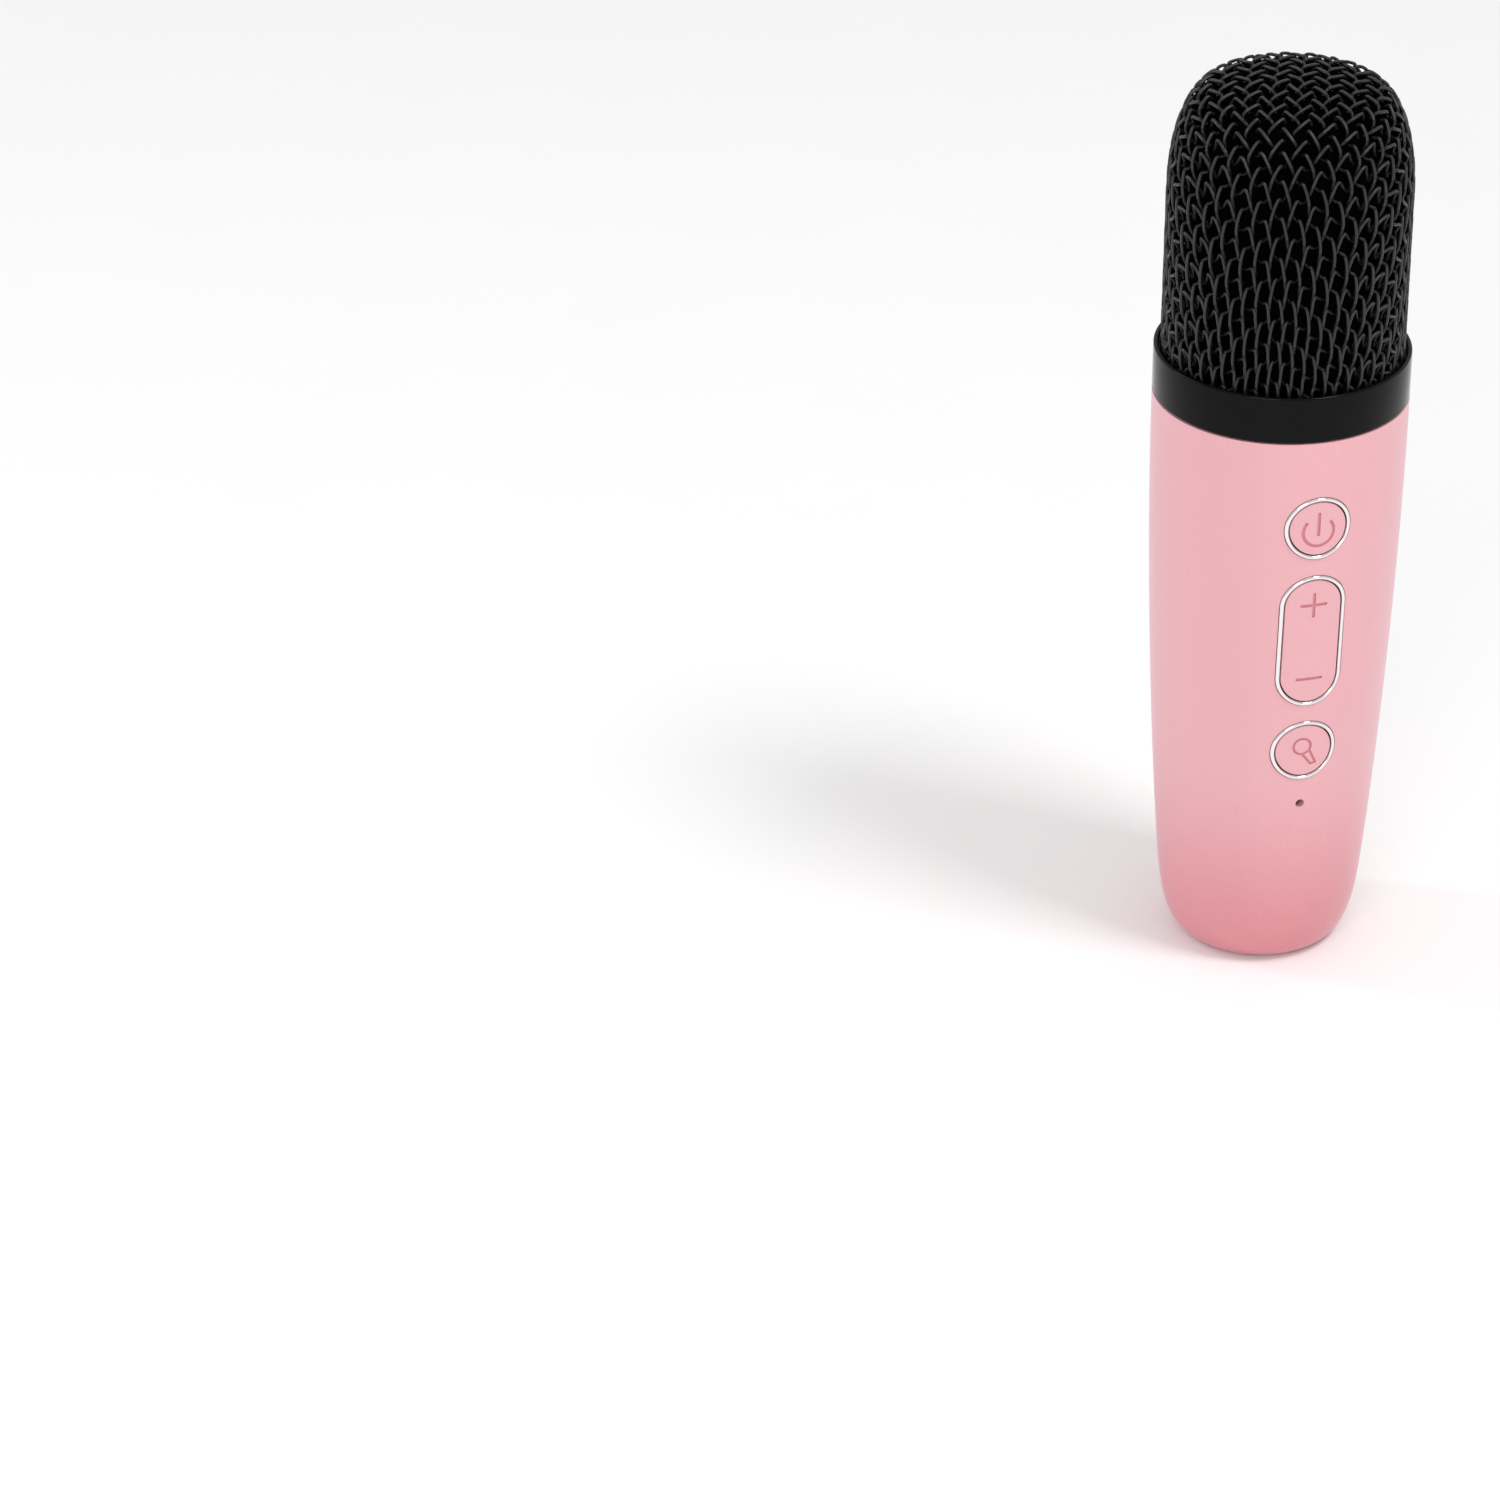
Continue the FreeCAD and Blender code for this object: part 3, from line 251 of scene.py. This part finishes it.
def lathe(name, outline, sides=192, sharp=math.radians(35)):
    """Turn a closed outline of (radius, height) points about the main axis."""
    outline = np.array(outline, float)
    count = len(outline)
    angles = np.linspace(0, 2 * math.pi, sides, endpoint=False)
    vertices = np.concatenate([turned(outline[:, 0], outline[:, 1], a) for a in angles])
    faces = []
    for side in range(sides):
        here = side * count
        there = ((side + 1) % sides) * count
        for i in range(count):
            j = (i + 1) % count
            faces.append((here + i, there + i, there + j, here + j))
    piece = new_mesh(name, vertices, faces)
    piece.data.set_sharp_from_angle(angle=sharp)
    return piece


def rounded(corners, radii, steps=6):
    """A closed outline with each corner replaced by a small arc."""
    corners = [Vector(c) for c in corners]
    result = []
    for i, (corner, radius) in enumerate(zip(corners, radii)):
        before = (corners[i - 1] - corner)
        after = (corners[(i + 1) % len(corners)] - corner)
        reach = min(radius, before.length * 0.45, after.length * 0.45)
        start = corner + before.normalized() * reach
        end = corner + after.normalized() * reach
        for step in range(steps + 1):
            t = step / steps
            result.append(tuple(start * (1 - t) ** 2 + corner * 2 * t * (1 - t) + end * t ** 2))
    return result


def material(name, slot_colour, roughness, metallic=0.0, **sockets):
    """A Principled material; the sockets are set directly."""
    made = bpy.data.materials.new(name)
    made.use_nodes = True
    shader = made.node_tree.nodes["Principled BSDF"]
    shader.inputs["Base Color"].default_value = (*slot_colour, 1.0)
    shader.inputs["Roughness"].default_value = roughness
    shader.inputs["Metallic"].default_value = metallic
    for socket, value in sockets.items():
        shader.inputs[socket.replace("_", " ")].default_value = value
    return made


def linear(red, green, blue):
    """A display colour from 0 to 255 as linear light."""
    light = [((c / 255 + 0.055) / 1.055) ** 2.4 if c > 10 else c / 255 / 12.92 for c in (red, green, blue)]
    return tuple(light)


def add_grain(made, scale, bump, distance, colour_spread=0.0, rough_spread=0.0):
    """Fine noise in a material's bump, colour and roughness, at a number of grains per metre."""
    tree = made.node_tree
    shader = tree.nodes["Principled BSDF"]
    place = tree.nodes.new("ShaderNodeTexCoord")
    noise = tree.nodes.new("ShaderNodeTexNoise")
    noise.inputs["Scale"].default_value = scale
    noise.inputs["Detail"].default_value = 3.0
    tree.links.new(place.outputs["Object"], noise.inputs["Vector"])
    if bump:
        bumps = tree.nodes.new("ShaderNodeBump")
        bumps.inputs["Strength"].default_value = bump
        bumps.inputs["Distance"].default_value = distance
        tree.links.new(noise.outputs["Fac"], bumps.inputs["Height"])
        tree.links.new(bumps.outputs["Normal"], shader.inputs["Normal"])
    if colour_spread:
        base = shader.inputs["Base Color"].default_value
        mix = tree.nodes.new("ShaderNodeMix")
        mix.data_type = "RGBA"
        mix.inputs["A"].default_value = [c * (1 - colour_spread) for c in base[:3]] + [1.0]
        mix.inputs["B"].default_value = [min(1.0, c * (1 + colour_spread)) for c in base[:3]] + [1.0]
        tree.links.new(noise.outputs["Fac"], mix.inputs["Factor"])
        tree.links.new(mix.outputs["Result"], shader.inputs["Base Color"])
    if rough_spread:
        base = shader.inputs["Roughness"].default_value
        spread = tree.nodes.new("ShaderNodeMapRange")
        spread.inputs["To Min"].default_value = base - rough_spread
        spread.inputs["To Max"].default_value = base + rough_spread
        tree.links.new(noise.outputs["Fac"], spread.inputs["Value"])
        tree.links.new(spread.outputs["Result"], shader.inputs["Roughness"])
    return made


def pink_lacquer(name, colour=PINK, shade_colour=PINK_PAINTED_BASE_SHADE):
    """Satin pearl lacquer with a fine grain, and painted shade making it a little darker towards the base."""
    made = material(name, linear(*colour), 0.45, Coat_Weight=0.12, Coat_Roughness=0.35, Sheen_Weight=0.3,
                    Sheen_Roughness=0.35, Sheen_Tint=(0.93, 0.86, 1.0, 1.0))
    tree = made.node_tree
    place = tree.nodes.new("ShaderNodeTexCoord")
    grain = tree.nodes.new("ShaderNodeTexNoise")
    grain.inputs["Scale"].default_value = GRAINS_PER_METRE
    tree.links.new(place.outputs["Object"], grain.inputs["Vector"])
    split = tree.nodes.new("ShaderNodeSeparateXYZ")
    tree.links.new(place.outputs["Object"], split.inputs["Vector"])
    # Painted shade: the colour darkens from the fade height down to the base
    painted_base_shade = tree.nodes.new("ShaderNodeMapRange")
    painted_base_shade.interpolation_type = "SMOOTHSTEP"
    painted_base_shade.inputs["From Min"].default_value = 0.0
    painted_base_shade.inputs["From Max"].default_value = PAINTED_SHADE_TOP
    painted_base_shade.inputs["To Min"].default_value = -0.25
    painted_base_shade.inputs["To Max"].default_value = 0.75
    tree.links.new(split.outputs["Z"], painted_base_shade.inputs["Value"])
    grain_and_painted_shade = tree.nodes.new("ShaderNodeMath")
    grain_and_painted_shade.operation = "MULTIPLY_ADD"
    grain_and_painted_shade.inputs[1].default_value = 0.5
    tree.links.new(grain.outputs["Fac"], grain_and_painted_shade.inputs[0])
    tree.links.new(painted_base_shade.outputs["Result"], grain_and_painted_shade.inputs[2])
    # Grain and painted shade together mix between the shaded and the plain pink
    mix = tree.nodes.new("ShaderNodeMix")
    mix.data_type = "RGBA"
    mix.clamp_factor = False
    mix.inputs["A"].default_value = (*linear(*shade_colour), 1.0)
    mix.inputs["B"].default_value = (*linear(*colour), 1.0)
    tree.links.new(grain_and_painted_shade.outputs["Value"], mix.inputs["Factor"])
    tree.links.new(mix.outputs["Result"], tree.nodes["Principled BSDF"].inputs["Base Color"])
    return made


def black_wire_paint(name, colour, gloss):
    """Semi-gloss black paint on round wire, of a stated gloss."""
    return material(name, colour, 0.38, Specular_IOR_Level=gloss)


def foam():
    """Open-cell black foam."""
    made = material("foam_cells", linear(3, 3, 3), 1.0, Specular_IOR_Level=0.0)
    return add_grain(made, 1800, 0.8, 0.0004, 0.4)


def plain_finish(name, colour, roughness, metallic, grain, sockets):
    """A material of even colour with a fine grain."""
    made = material(name, linear(*colour), roughness, metallic, **sockets)
    return add_grain(made, *grain)


def all_finishes():
    """Every finish, by the material slot that it belongs to."""
    finishes = {slot: plain_finish(*facts) for slot, facts in PLAIN_FINISHES.items()}
    finishes["pink_shell"] = pink_lacquer("pink_shell_finish")
    finishes["pink_button"] = pink_lacquer("pink_button_finish")
    finishes["black_wire"] = black_wire_paint("wire_lit", linear(*WIRE_LIT_PAINT[0]), WIRE_LIT_PAINT[1])
    finishes["black_foam"] = foam()
    return finishes


def paint_nodes(finishes):
    """Give each CAD node its finish."""
    for part in frame["record"]["subparts"]:
        node = frame["nodes"][part["node"]]
        node.data.materials.clear()
        node.data.materials.append(finishes[part["material_slot"]])


def camera():
    """The viewpoint: level with a slight look down, controls turned to its right."""
    back_turn = Matrix.Rotation(-CONTROLS_TURN, 3, "Z")
    forward = Vector((0, math.cos(CAMERA_PITCH), -math.sin(CAMERA_PITCH)))
    up = Vector((0, math.sin(CAMERA_PITCH), math.cos(CAMERA_PITCH)))
    right = Vector((1, 0, 0))
    base = forward * CAMERA_TO_BASE + right * BASE_RIGHT - up * BASE_DOWN
    data = bpy.data.cameras.new("camera")
    data.lens = LENS
    data.sensor_width = SENSOR
    data.clip_start = 0.01
    data.clip_end = 20
    viewer = bpy.data.objects.new("camera", data)
    bpy.context.scene.collection.objects.link(viewer)
    viewer.location = back_turn @ -base
    viewer.rotation_mode = "QUATERNION"
    viewer.rotation_quaternion = (back_turn @ forward).to_track_quat("-Z", "Y")
    bpy.context.scene.camera = viewer


def area_light(name, place, width, height, power):
    """A soft rectangular lamp that faces the middle of the microphone."""
    data = bpy.data.lights.new(name, "AREA")
    data.shape = "RECTANGLE"
    data.size = width
    data.size_y = height
    data.energy = power
    lamp = bpy.data.objects.new(name, data)
    bpy.context.scene.collection.objects.link(lamp)
    lamp.location = place
    lamp.rotation_mode = "QUATERNION"
    lamp.rotation_quaternion = (Vector(LAMP_TARGET) - Vector(place)).to_track_quat("-Z", "Y")


def studio():
    """White floor, even light all round, and the lamps."""
    reach = FLOOR_REACH
    corners = [(-reach, -reach, 0), (reach, -reach, 0), (reach, reach, 0), (-reach, reach, 0)]
    floor = new_mesh("floor", corners, [(0, 1, 2, 3)], False)
    floor_paint = material("floor_paint", linear(245, 245, 245), 0.7)
    floor.data.materials.append(add_grain(floor_paint, 30, 0.0, 0.0, 0.01))
    world = bpy.data.worlds.new("studio")
    world.use_nodes = True
    background = world.node_tree.nodes["Background"]
    background.inputs["Color"].default_value = (1.0, 1.0, 1.0, 1.0)
    background.inputs["Strength"].default_value = WORLD_STRENGTH
    bpy.context.scene.world = world
    bpy.context.scene.view_settings.view_transform = "Standard"
    for lamp in LAMPS:
        area_light(*lamp)


class Dome:
    """The middle surface of the wire cloth, by distance from the crown."""

    def __init__(self, inward):
        points = dome_outline(inward)
        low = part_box("grille_mesh")[0].z
        points = np.vstack((points, [[points[-1, 0], low]]))
        steps = np.linalg.norm(np.diff(points, axis=0), axis=1)
        self.distance = np.concatenate(([0.0], np.cumsum(steps)))
        self.points = points
        self.side_start = self.distance[-2]
        self.length = self.distance[-1]

    def at(self, distance):
        """Radius and height at a distance from the crown."""
        r = np.interp(distance, self.distance, self.points[:, 0])
        z = np.interp(distance, self.distance, self.points[:, 1])
        return r, z

    def outward(self, distance):
        """The outward direction there, as its radius and height parts."""
        reach = 0.4 * MM
        r0, z0 = self.at(np.maximum(distance - reach, 0))
        r1, z1 = self.at(np.minimum(distance + reach, self.length))
        size = np.hypot(r1 - r0, z1 - z0)
        return (z0 - z1) / size, (r1 - r0) / size


def smooth_table(points, at):
    """Smooth curve through a table of points."""
    x, y = np.array(points, float).T
    slope = np.gradient(y, x)
    i = np.clip(np.searchsorted(x, at, side="right") - 1, 0, len(x) - 2)
    step = x[i + 1] - x[i]
    t = (at - x[i]) / step
    return ((1 + 2 * t) * (1 - t) ** 2 * y[i] + t * (1 - t) ** 2 * step * slope[i]
            + t ** 2 * (3 - 2 * t) * y[i + 1] + t ** 2 * (t - 1) * step * slope[i + 1])


def net_depths(length):
    """Rows of the net and their distances from the crown, down to the cloth's hidden edge."""
    rows = list(NET_ROWS)
    depths = [depth * MM for depth in NET_DEPTHS_MM]
    while depths[-1] < length:
        rows.append(rows[-1] + 1)
        depths.append(depths[-1] + SIDE_STEP)
    return np.column_stack((rows, depths))


def soft_sign(angle):
    """1 and -1 on either side of a turn-over, with a short change between."""
    return np.clip(3 * np.sin(angle), -1, 1)


def two_way(wave, phase, forward):
    """A wave drawn along the wire, against it, or a mix of both."""
    ahead = smooth_table(wave, phase)
    behind = smooth_table(wave, np.mod(2 - phase, 2))
    return ahead * (1 + forward) / 2 + behind * (1 - forward) / 2


def wire_line(dome, depths, index, family):
    """The centre line of one wire and how far it stands out along it.

    Family 1 runs down to the right of the net's middle row, and family -1 to the left.
    """
    last = np.interp(dome.length, depths[:, 1], depths[:, 0])
    reach = math.sqrt(max(last ** 2 / 2 - index ** 2, 0.0))
    if reach < 0.4:
        return None
    cells = np.arange(math.floor(-reach), math.ceil(reach) + 1)
    along = (cells[:, None] + np.array(CELL_STEPS)).ravel()
    along = np.concatenate(([-reach], along[np.abs(along) < reach - 0.02], [reach]))
    u = family * (along - index)
    v = along + index
    row = np.maximum(np.hypot(u, v), 1e-6)
    angle = np.arctan2(u, v)
    phase = np.mod(along + index + (1 if family < 0 else 0), 2)
    drawn = np.clip((row - FLAT_ROWS) / (DRAWN_ROWS - FLAT_ROWS), 0, 1)
    drawn = 0.35 + 0.65 * drawn * drawn * (3 - 2 * drawn)
    right_way = soft_sign(angle + TURNOVER)
    left_way = soft_sign(TURNOVER - angle)
    forward, other = (right_way, left_way) if family > 0 else (left_way, right_way)
    level = -family * np.sin(2 * angle)
    flat = np.maximum(level, 0)
    steep = np.maximum(-level, 0)
    sag = (0.12 + 1.03 * flat + 0.43 * steep) * MM
    hook = (0.46 + 0.8 * flat - 0.24 * steep) * MM
    swing = np.cos(math.pi * phase)
    sideways = family * forward * other * (0.25 + 0.2 * np.abs(level)) * MM * swing
    downward = -level * 0.4 * MM * swing
    back = (0.4 - 0.3 * flat - 0.15 * steep) * MM * forward
    bow = (sag * two_way(SAG_WAVE, phase, forward) + hook * two_way(HOOK_WAVE, phase, forward)) * drawn
    retreat = back * two_way(BACK_WAVE, phase, forward) * drawn
    depth = smooth_table(depths, np.minimum(row, depths[-1, 0]))
    r, z = dome.at(depth)
    run = np.gradient(np.unwrap(angle), along) * r
    fall = np.gradient(depth, along)
    size = np.hypot(run, fall)
    over = sideways * drawn + (bow * other * family * fall - retreat * run) / size
    down = downward * drawn - (bow * other * family * run + retreat * fall) / size
    r, z = dome.at(np.clip(depth + down, 0, dome.length))
    out_r, out_z = dome.outward(np.clip(depth + down, 0, dome.length))
    height = two_way(HEIGHT_WAVE, phase, forward)
    crimp = TOP_CRIMP + (CRIMP - TOP_CRIMP) * np.clip((row - FLAT_ROWS) / (DRAWN_ROWS - FLAT_ROWS), 0, 1)
    lift = crimp * (height - 1)
    turn = NET_TURN + angle + over / np.maximum(r, 0.5 * MM)
    return turned(r + out_r * lift, z + out_z * lift, turn), height


def tube_mesh(lines, radius, sides):
    """Vertices and faces of round tubes along centre lines."""
    vertices = []
    faces = []
    offset = 0
    angles = np.linspace(0, 2 * math.pi, sides, endpoint=False)
    for line in lines:
        along = np.gradient(line, axis=0)
        along /= np.linalg.norm(along, axis=1)[:, None]
        middle = np.array([0, 0, TOTAL_HEIGHT * 0.8])
        outward = line - middle
        side = np.cross(along, outward)
        side /= np.linalg.norm(side, axis=1)[:, None]
        top = np.cross(side, along)
        loops = line[:, None, :] + radius * (np.cos(angles)[None, :, None] * side[:, None, :]
                                             + np.sin(angles)[None, :, None] * top[:, None, :])
        vertices.append(loops.reshape(-1, 3))
        count = len(line)
        for i in range(count - 1):
            for j in range(sides):
                k = (j + 1) % sides
                faces.append((offset + i * sides + j, offset + i * sides + k,
                              offset + (i + 1) * sides + k, offset + (i + 1) * sides + j))
        faces.append(tuple(offset + j for j in reversed(range(sides))))
        faces.append(tuple(offset + (count - 1) * sides + j for j in range(sides)))
        offset += count * sides
    return np.vstack(vertices), faces


def painted_shade_levels(lines, sides):
    """Which paint each face of the wires takes: 0 lit on top, 1 painted half shade half way down, 2 painted
    shade where the wire dips.
    """
    levels = []
    for _, height in lines:
        middle = (height[1:] + height[:-1]) / 2
        # Painted shade: the lower a face lies in the wave, the darker its paint
        level = np.where(middle > LIT_PAINT_ABOVE, 0, np.where(middle > SHADE_PAINT_BELOW, 1, 2))
        levels.append(np.repeat(level, sides))
        levels.append([2, 2])
    return np.concatenate(levels).astype(int)


def wire_cloth(finish):
    """The woven grille, one piece for each half of each family of wires."""
    # Lit paint on top, with painted-shade copies, darker and less glossy, for the flanks and dips
    lit_and_shaded_paints = (finish, black_wire_paint("wire_painted_half_shade", linear(*WIRE_HALF_SHADE_PAINT[0]), WIRE_HALF_SHADE_PAINT[1]),
              black_wire_paint("wire_painted_shade", linear(*WIRE_SHADE_PAINT[0]), WIRE_SHADE_PAINT[1]))
    dome = Dome(WIRE_RADIUS)
    depths = net_depths(dome.length)
    last = int(depths[-1, 0] / math.sqrt(2))
    for family, family_name in ((1, "right"), (-1, "left")):
        for half, indices in (("back", range(-last, 0)), ("front", range(0, last + 1))):
            lines = [wire_line(dome, depths, index, family) for index in indices]
            lines = [line for line in lines if line is not None]
            vertices, faces = tube_mesh([line for line, _ in lines], WIRE_RADIUS, WIRE_SIDES)
            piece = new_mesh("grille_%s_%s" % (family_name, half), vertices, faces)
            for paint in lit_and_shaded_paints:
                piece.data.materials.append(paint)
            # Painted shade: the deeper faces of the wires take the darker paints
            piece.data.polygons.foreach_set("material_index", painted_shade_levels(lines, WIRE_SIDES))
            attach(piece, "head")
            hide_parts("grille_mesh")


def foam_lining(finish):
    """Soft foam dome inside the grille, with a slightly uneven skin."""
    outer = dome_outline(FOAM_DEPTH)
    inner = dome_outline(FOAM_DEPTH + FOAM_THICKNESS)
    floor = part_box("capsule_carrier")[0].z + FOAM_SKIRT
    outer = np.vstack((outer, [[outer[-1, 0], z] for z in np.linspace(outer[-1, 1], floor, 12)[1:]]))
    inner = np.vstack((inner, [[inner[-1, 0], floor]]))
    rows = np.vstack((outer[::6], outer[-1:], inner[::-1][::12], inner[:1]))
    sides = FOAM_SIDES
    angles = np.linspace(0, 2 * math.pi, sides, endpoint=False)
    rows[0, 0] = FOAM_POLE
    rows[-1, 0] = FOAM_POLE
    count = len(rows)
    vertices = np.concatenate([turned(rows[:, 0], rows[:, 1], a) for a in angles])
    rng = random.Random(7)
    uneven = [[rng.uniform(-1, 1) * FOAM_ROUGHNESS for _ in range(3)] for _ in range(len(vertices))]
    vertices += np.array(uneven)
    faces = []
    for side in range(sides):
        here = side * count
        there = ((side + 1) % sides) * count
        for i in range(count - 1):
            faces.append((here + i, there + i, there + i + 1, here + i + 1))
    faces.append(tuple(side * count for side in reversed(range(sides))))
    faces.append(tuple(side * count + count - 1 for side in range(sides)))
    piece = new_mesh("foam_lining", vertices, faces)
    piece.data.materials.append(finish)
    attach(piece, "head")
    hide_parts("foam_windscreen")


def collar(finish):
    """The gloss ring, with rounded top and bottom edges."""
    low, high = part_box("collar_ring")
    rim_low, rim_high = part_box("grille_rim")
    seat = rim_high.x + RIM_GAP
    thread = COLLAR_RADIUS - COLLAR_WALL
    corners = ((thread, low.z), (COLLAR_RADIUS, low.z), (COLLAR_RADIUS, high.z), (seat, high.z),
               (seat, rim_low.z), (thread, rim_low.z))
    radii = (COLLAR_INNER_BEVEL, COLLAR_FOOT_BEVEL, COLLAR_BEVEL, COLLAR_BEVEL,
             COLLAR_INNER_BEVEL, COLLAR_INNER_BEVEL)
    piece = lathe("collar", rounded(corners, radii))
    piece.data.materials.append(finish)
    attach(piece, "head")
    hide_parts("collar_ring")


def slot_path(radius, middle_z, half_pitch, count=96):
    """Points (x, z) and outward directions round a slot, or round a circle at pitch 0."""
    points = []
    for step in range(count):
        turn = 2 * math.pi * step / count
        out = (math.cos(turn), math.sin(turn))
        shift = half_pitch if step < count / 2 else -half_pitch
        points.append((radius * out[0], middle_z + shift + radius * out[1], out))
    return points


def chrome_ring(node, half_pitch, outline, finish):
    """A half-round chrome band that follows the handle's curve, with a thin shadow gap round it."""
    low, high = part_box(node)
    middle_z = (low.z + high.z) / 2
    half_width = (TRIM_WIDTH - TRIM_SHADOW_GAP) / 2
    centre = TRIM_RADIUS - TRIM_SHADOW_GAP - half_width
    profile = [(-1, -TRIM_FOOT)]
    for i in range(TRIM_ARC_STEPS + 1):
        across = -math.cos(math.pi * i / TRIM_ARC_STEPS)
        profile.append((across, TRIM_PROUD * (1 - TRIM_EDGE_DROP * abs(across) ** TRIM_SHOULDER_POWER)))
    profile.append((1, -TRIM_FOOT))
    vertices = []
    for x, z, out in slot_path(centre, middle_z, half_pitch):
        for across, lift in profile:
            px = x + out[0] * across * half_width
            pz = z + out[1] * across * half_width
            surface = np.interp(pz, outline[:, 1], outline[:, 0])
            vertices.append((px, -math.sqrt(surface ** 2 - px ** 2) - lift, pz))
    count = len(profile)
    loops = len(vertices) // count
    faces = []
    for i in range(loops):
        here = i * count
        there = ((i + 1) % loops) * count
        for j in range(count):
            k = (j + 1) % count
            faces.append((here + j, there + j, there + k, here + k))
    piece = new_mesh(node.replace("trim", "ring"), vertices, faces)
    piece.data.set_sharp_from_angle(angle=math.radians(50))
    piece.data.materials.append(finish)
    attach(piece, "handle")
    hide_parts(node)


def paint_shade_in_icons(outline):
    """Give the sunk faces of the icons a darker pink as painted shade."""
    painted_icon_shade = pink_lacquer("engraved_painted_shade", PINK_PAINTED_ICON_SHADE, PINK_PAINTED_ICON_SHADE)
    for node in ("power_button", "volume_rocker", "effect_button"):
        mesh = frame["nodes"][node].data
        mesh.materials.append(painted_icon_shade)
        for face in mesh.polygons:
            x, y, z = face.center
            if face.normal.y > 0.5:
                continue
            sunk = np.interp(z, outline[:, 1], outline[:, 0]) - math.hypot(x, y)
            if ENGRAVED_FROM < sunk < ENGRAVED_TO and abs(x) < ICON_REACH:
                # Painted shade on this sunk face
                face.material_index = 1


def main():
    """Build every piece."""
    camera()
    studio()
    finishes = all_finishes()
    paint_nodes(finishes)
    outline = handle_outline()
    collar(finishes["black_gloss"])
    for node, half_pitch in TRIMS:
        chrome_ring(node, half_pitch, outline, finishes["chrome_trim"])
    paint_shade_in_icons(outline)
    wire_cloth(finishes["black_wire"])
    foam_lining(finishes["black_foam"])


main()
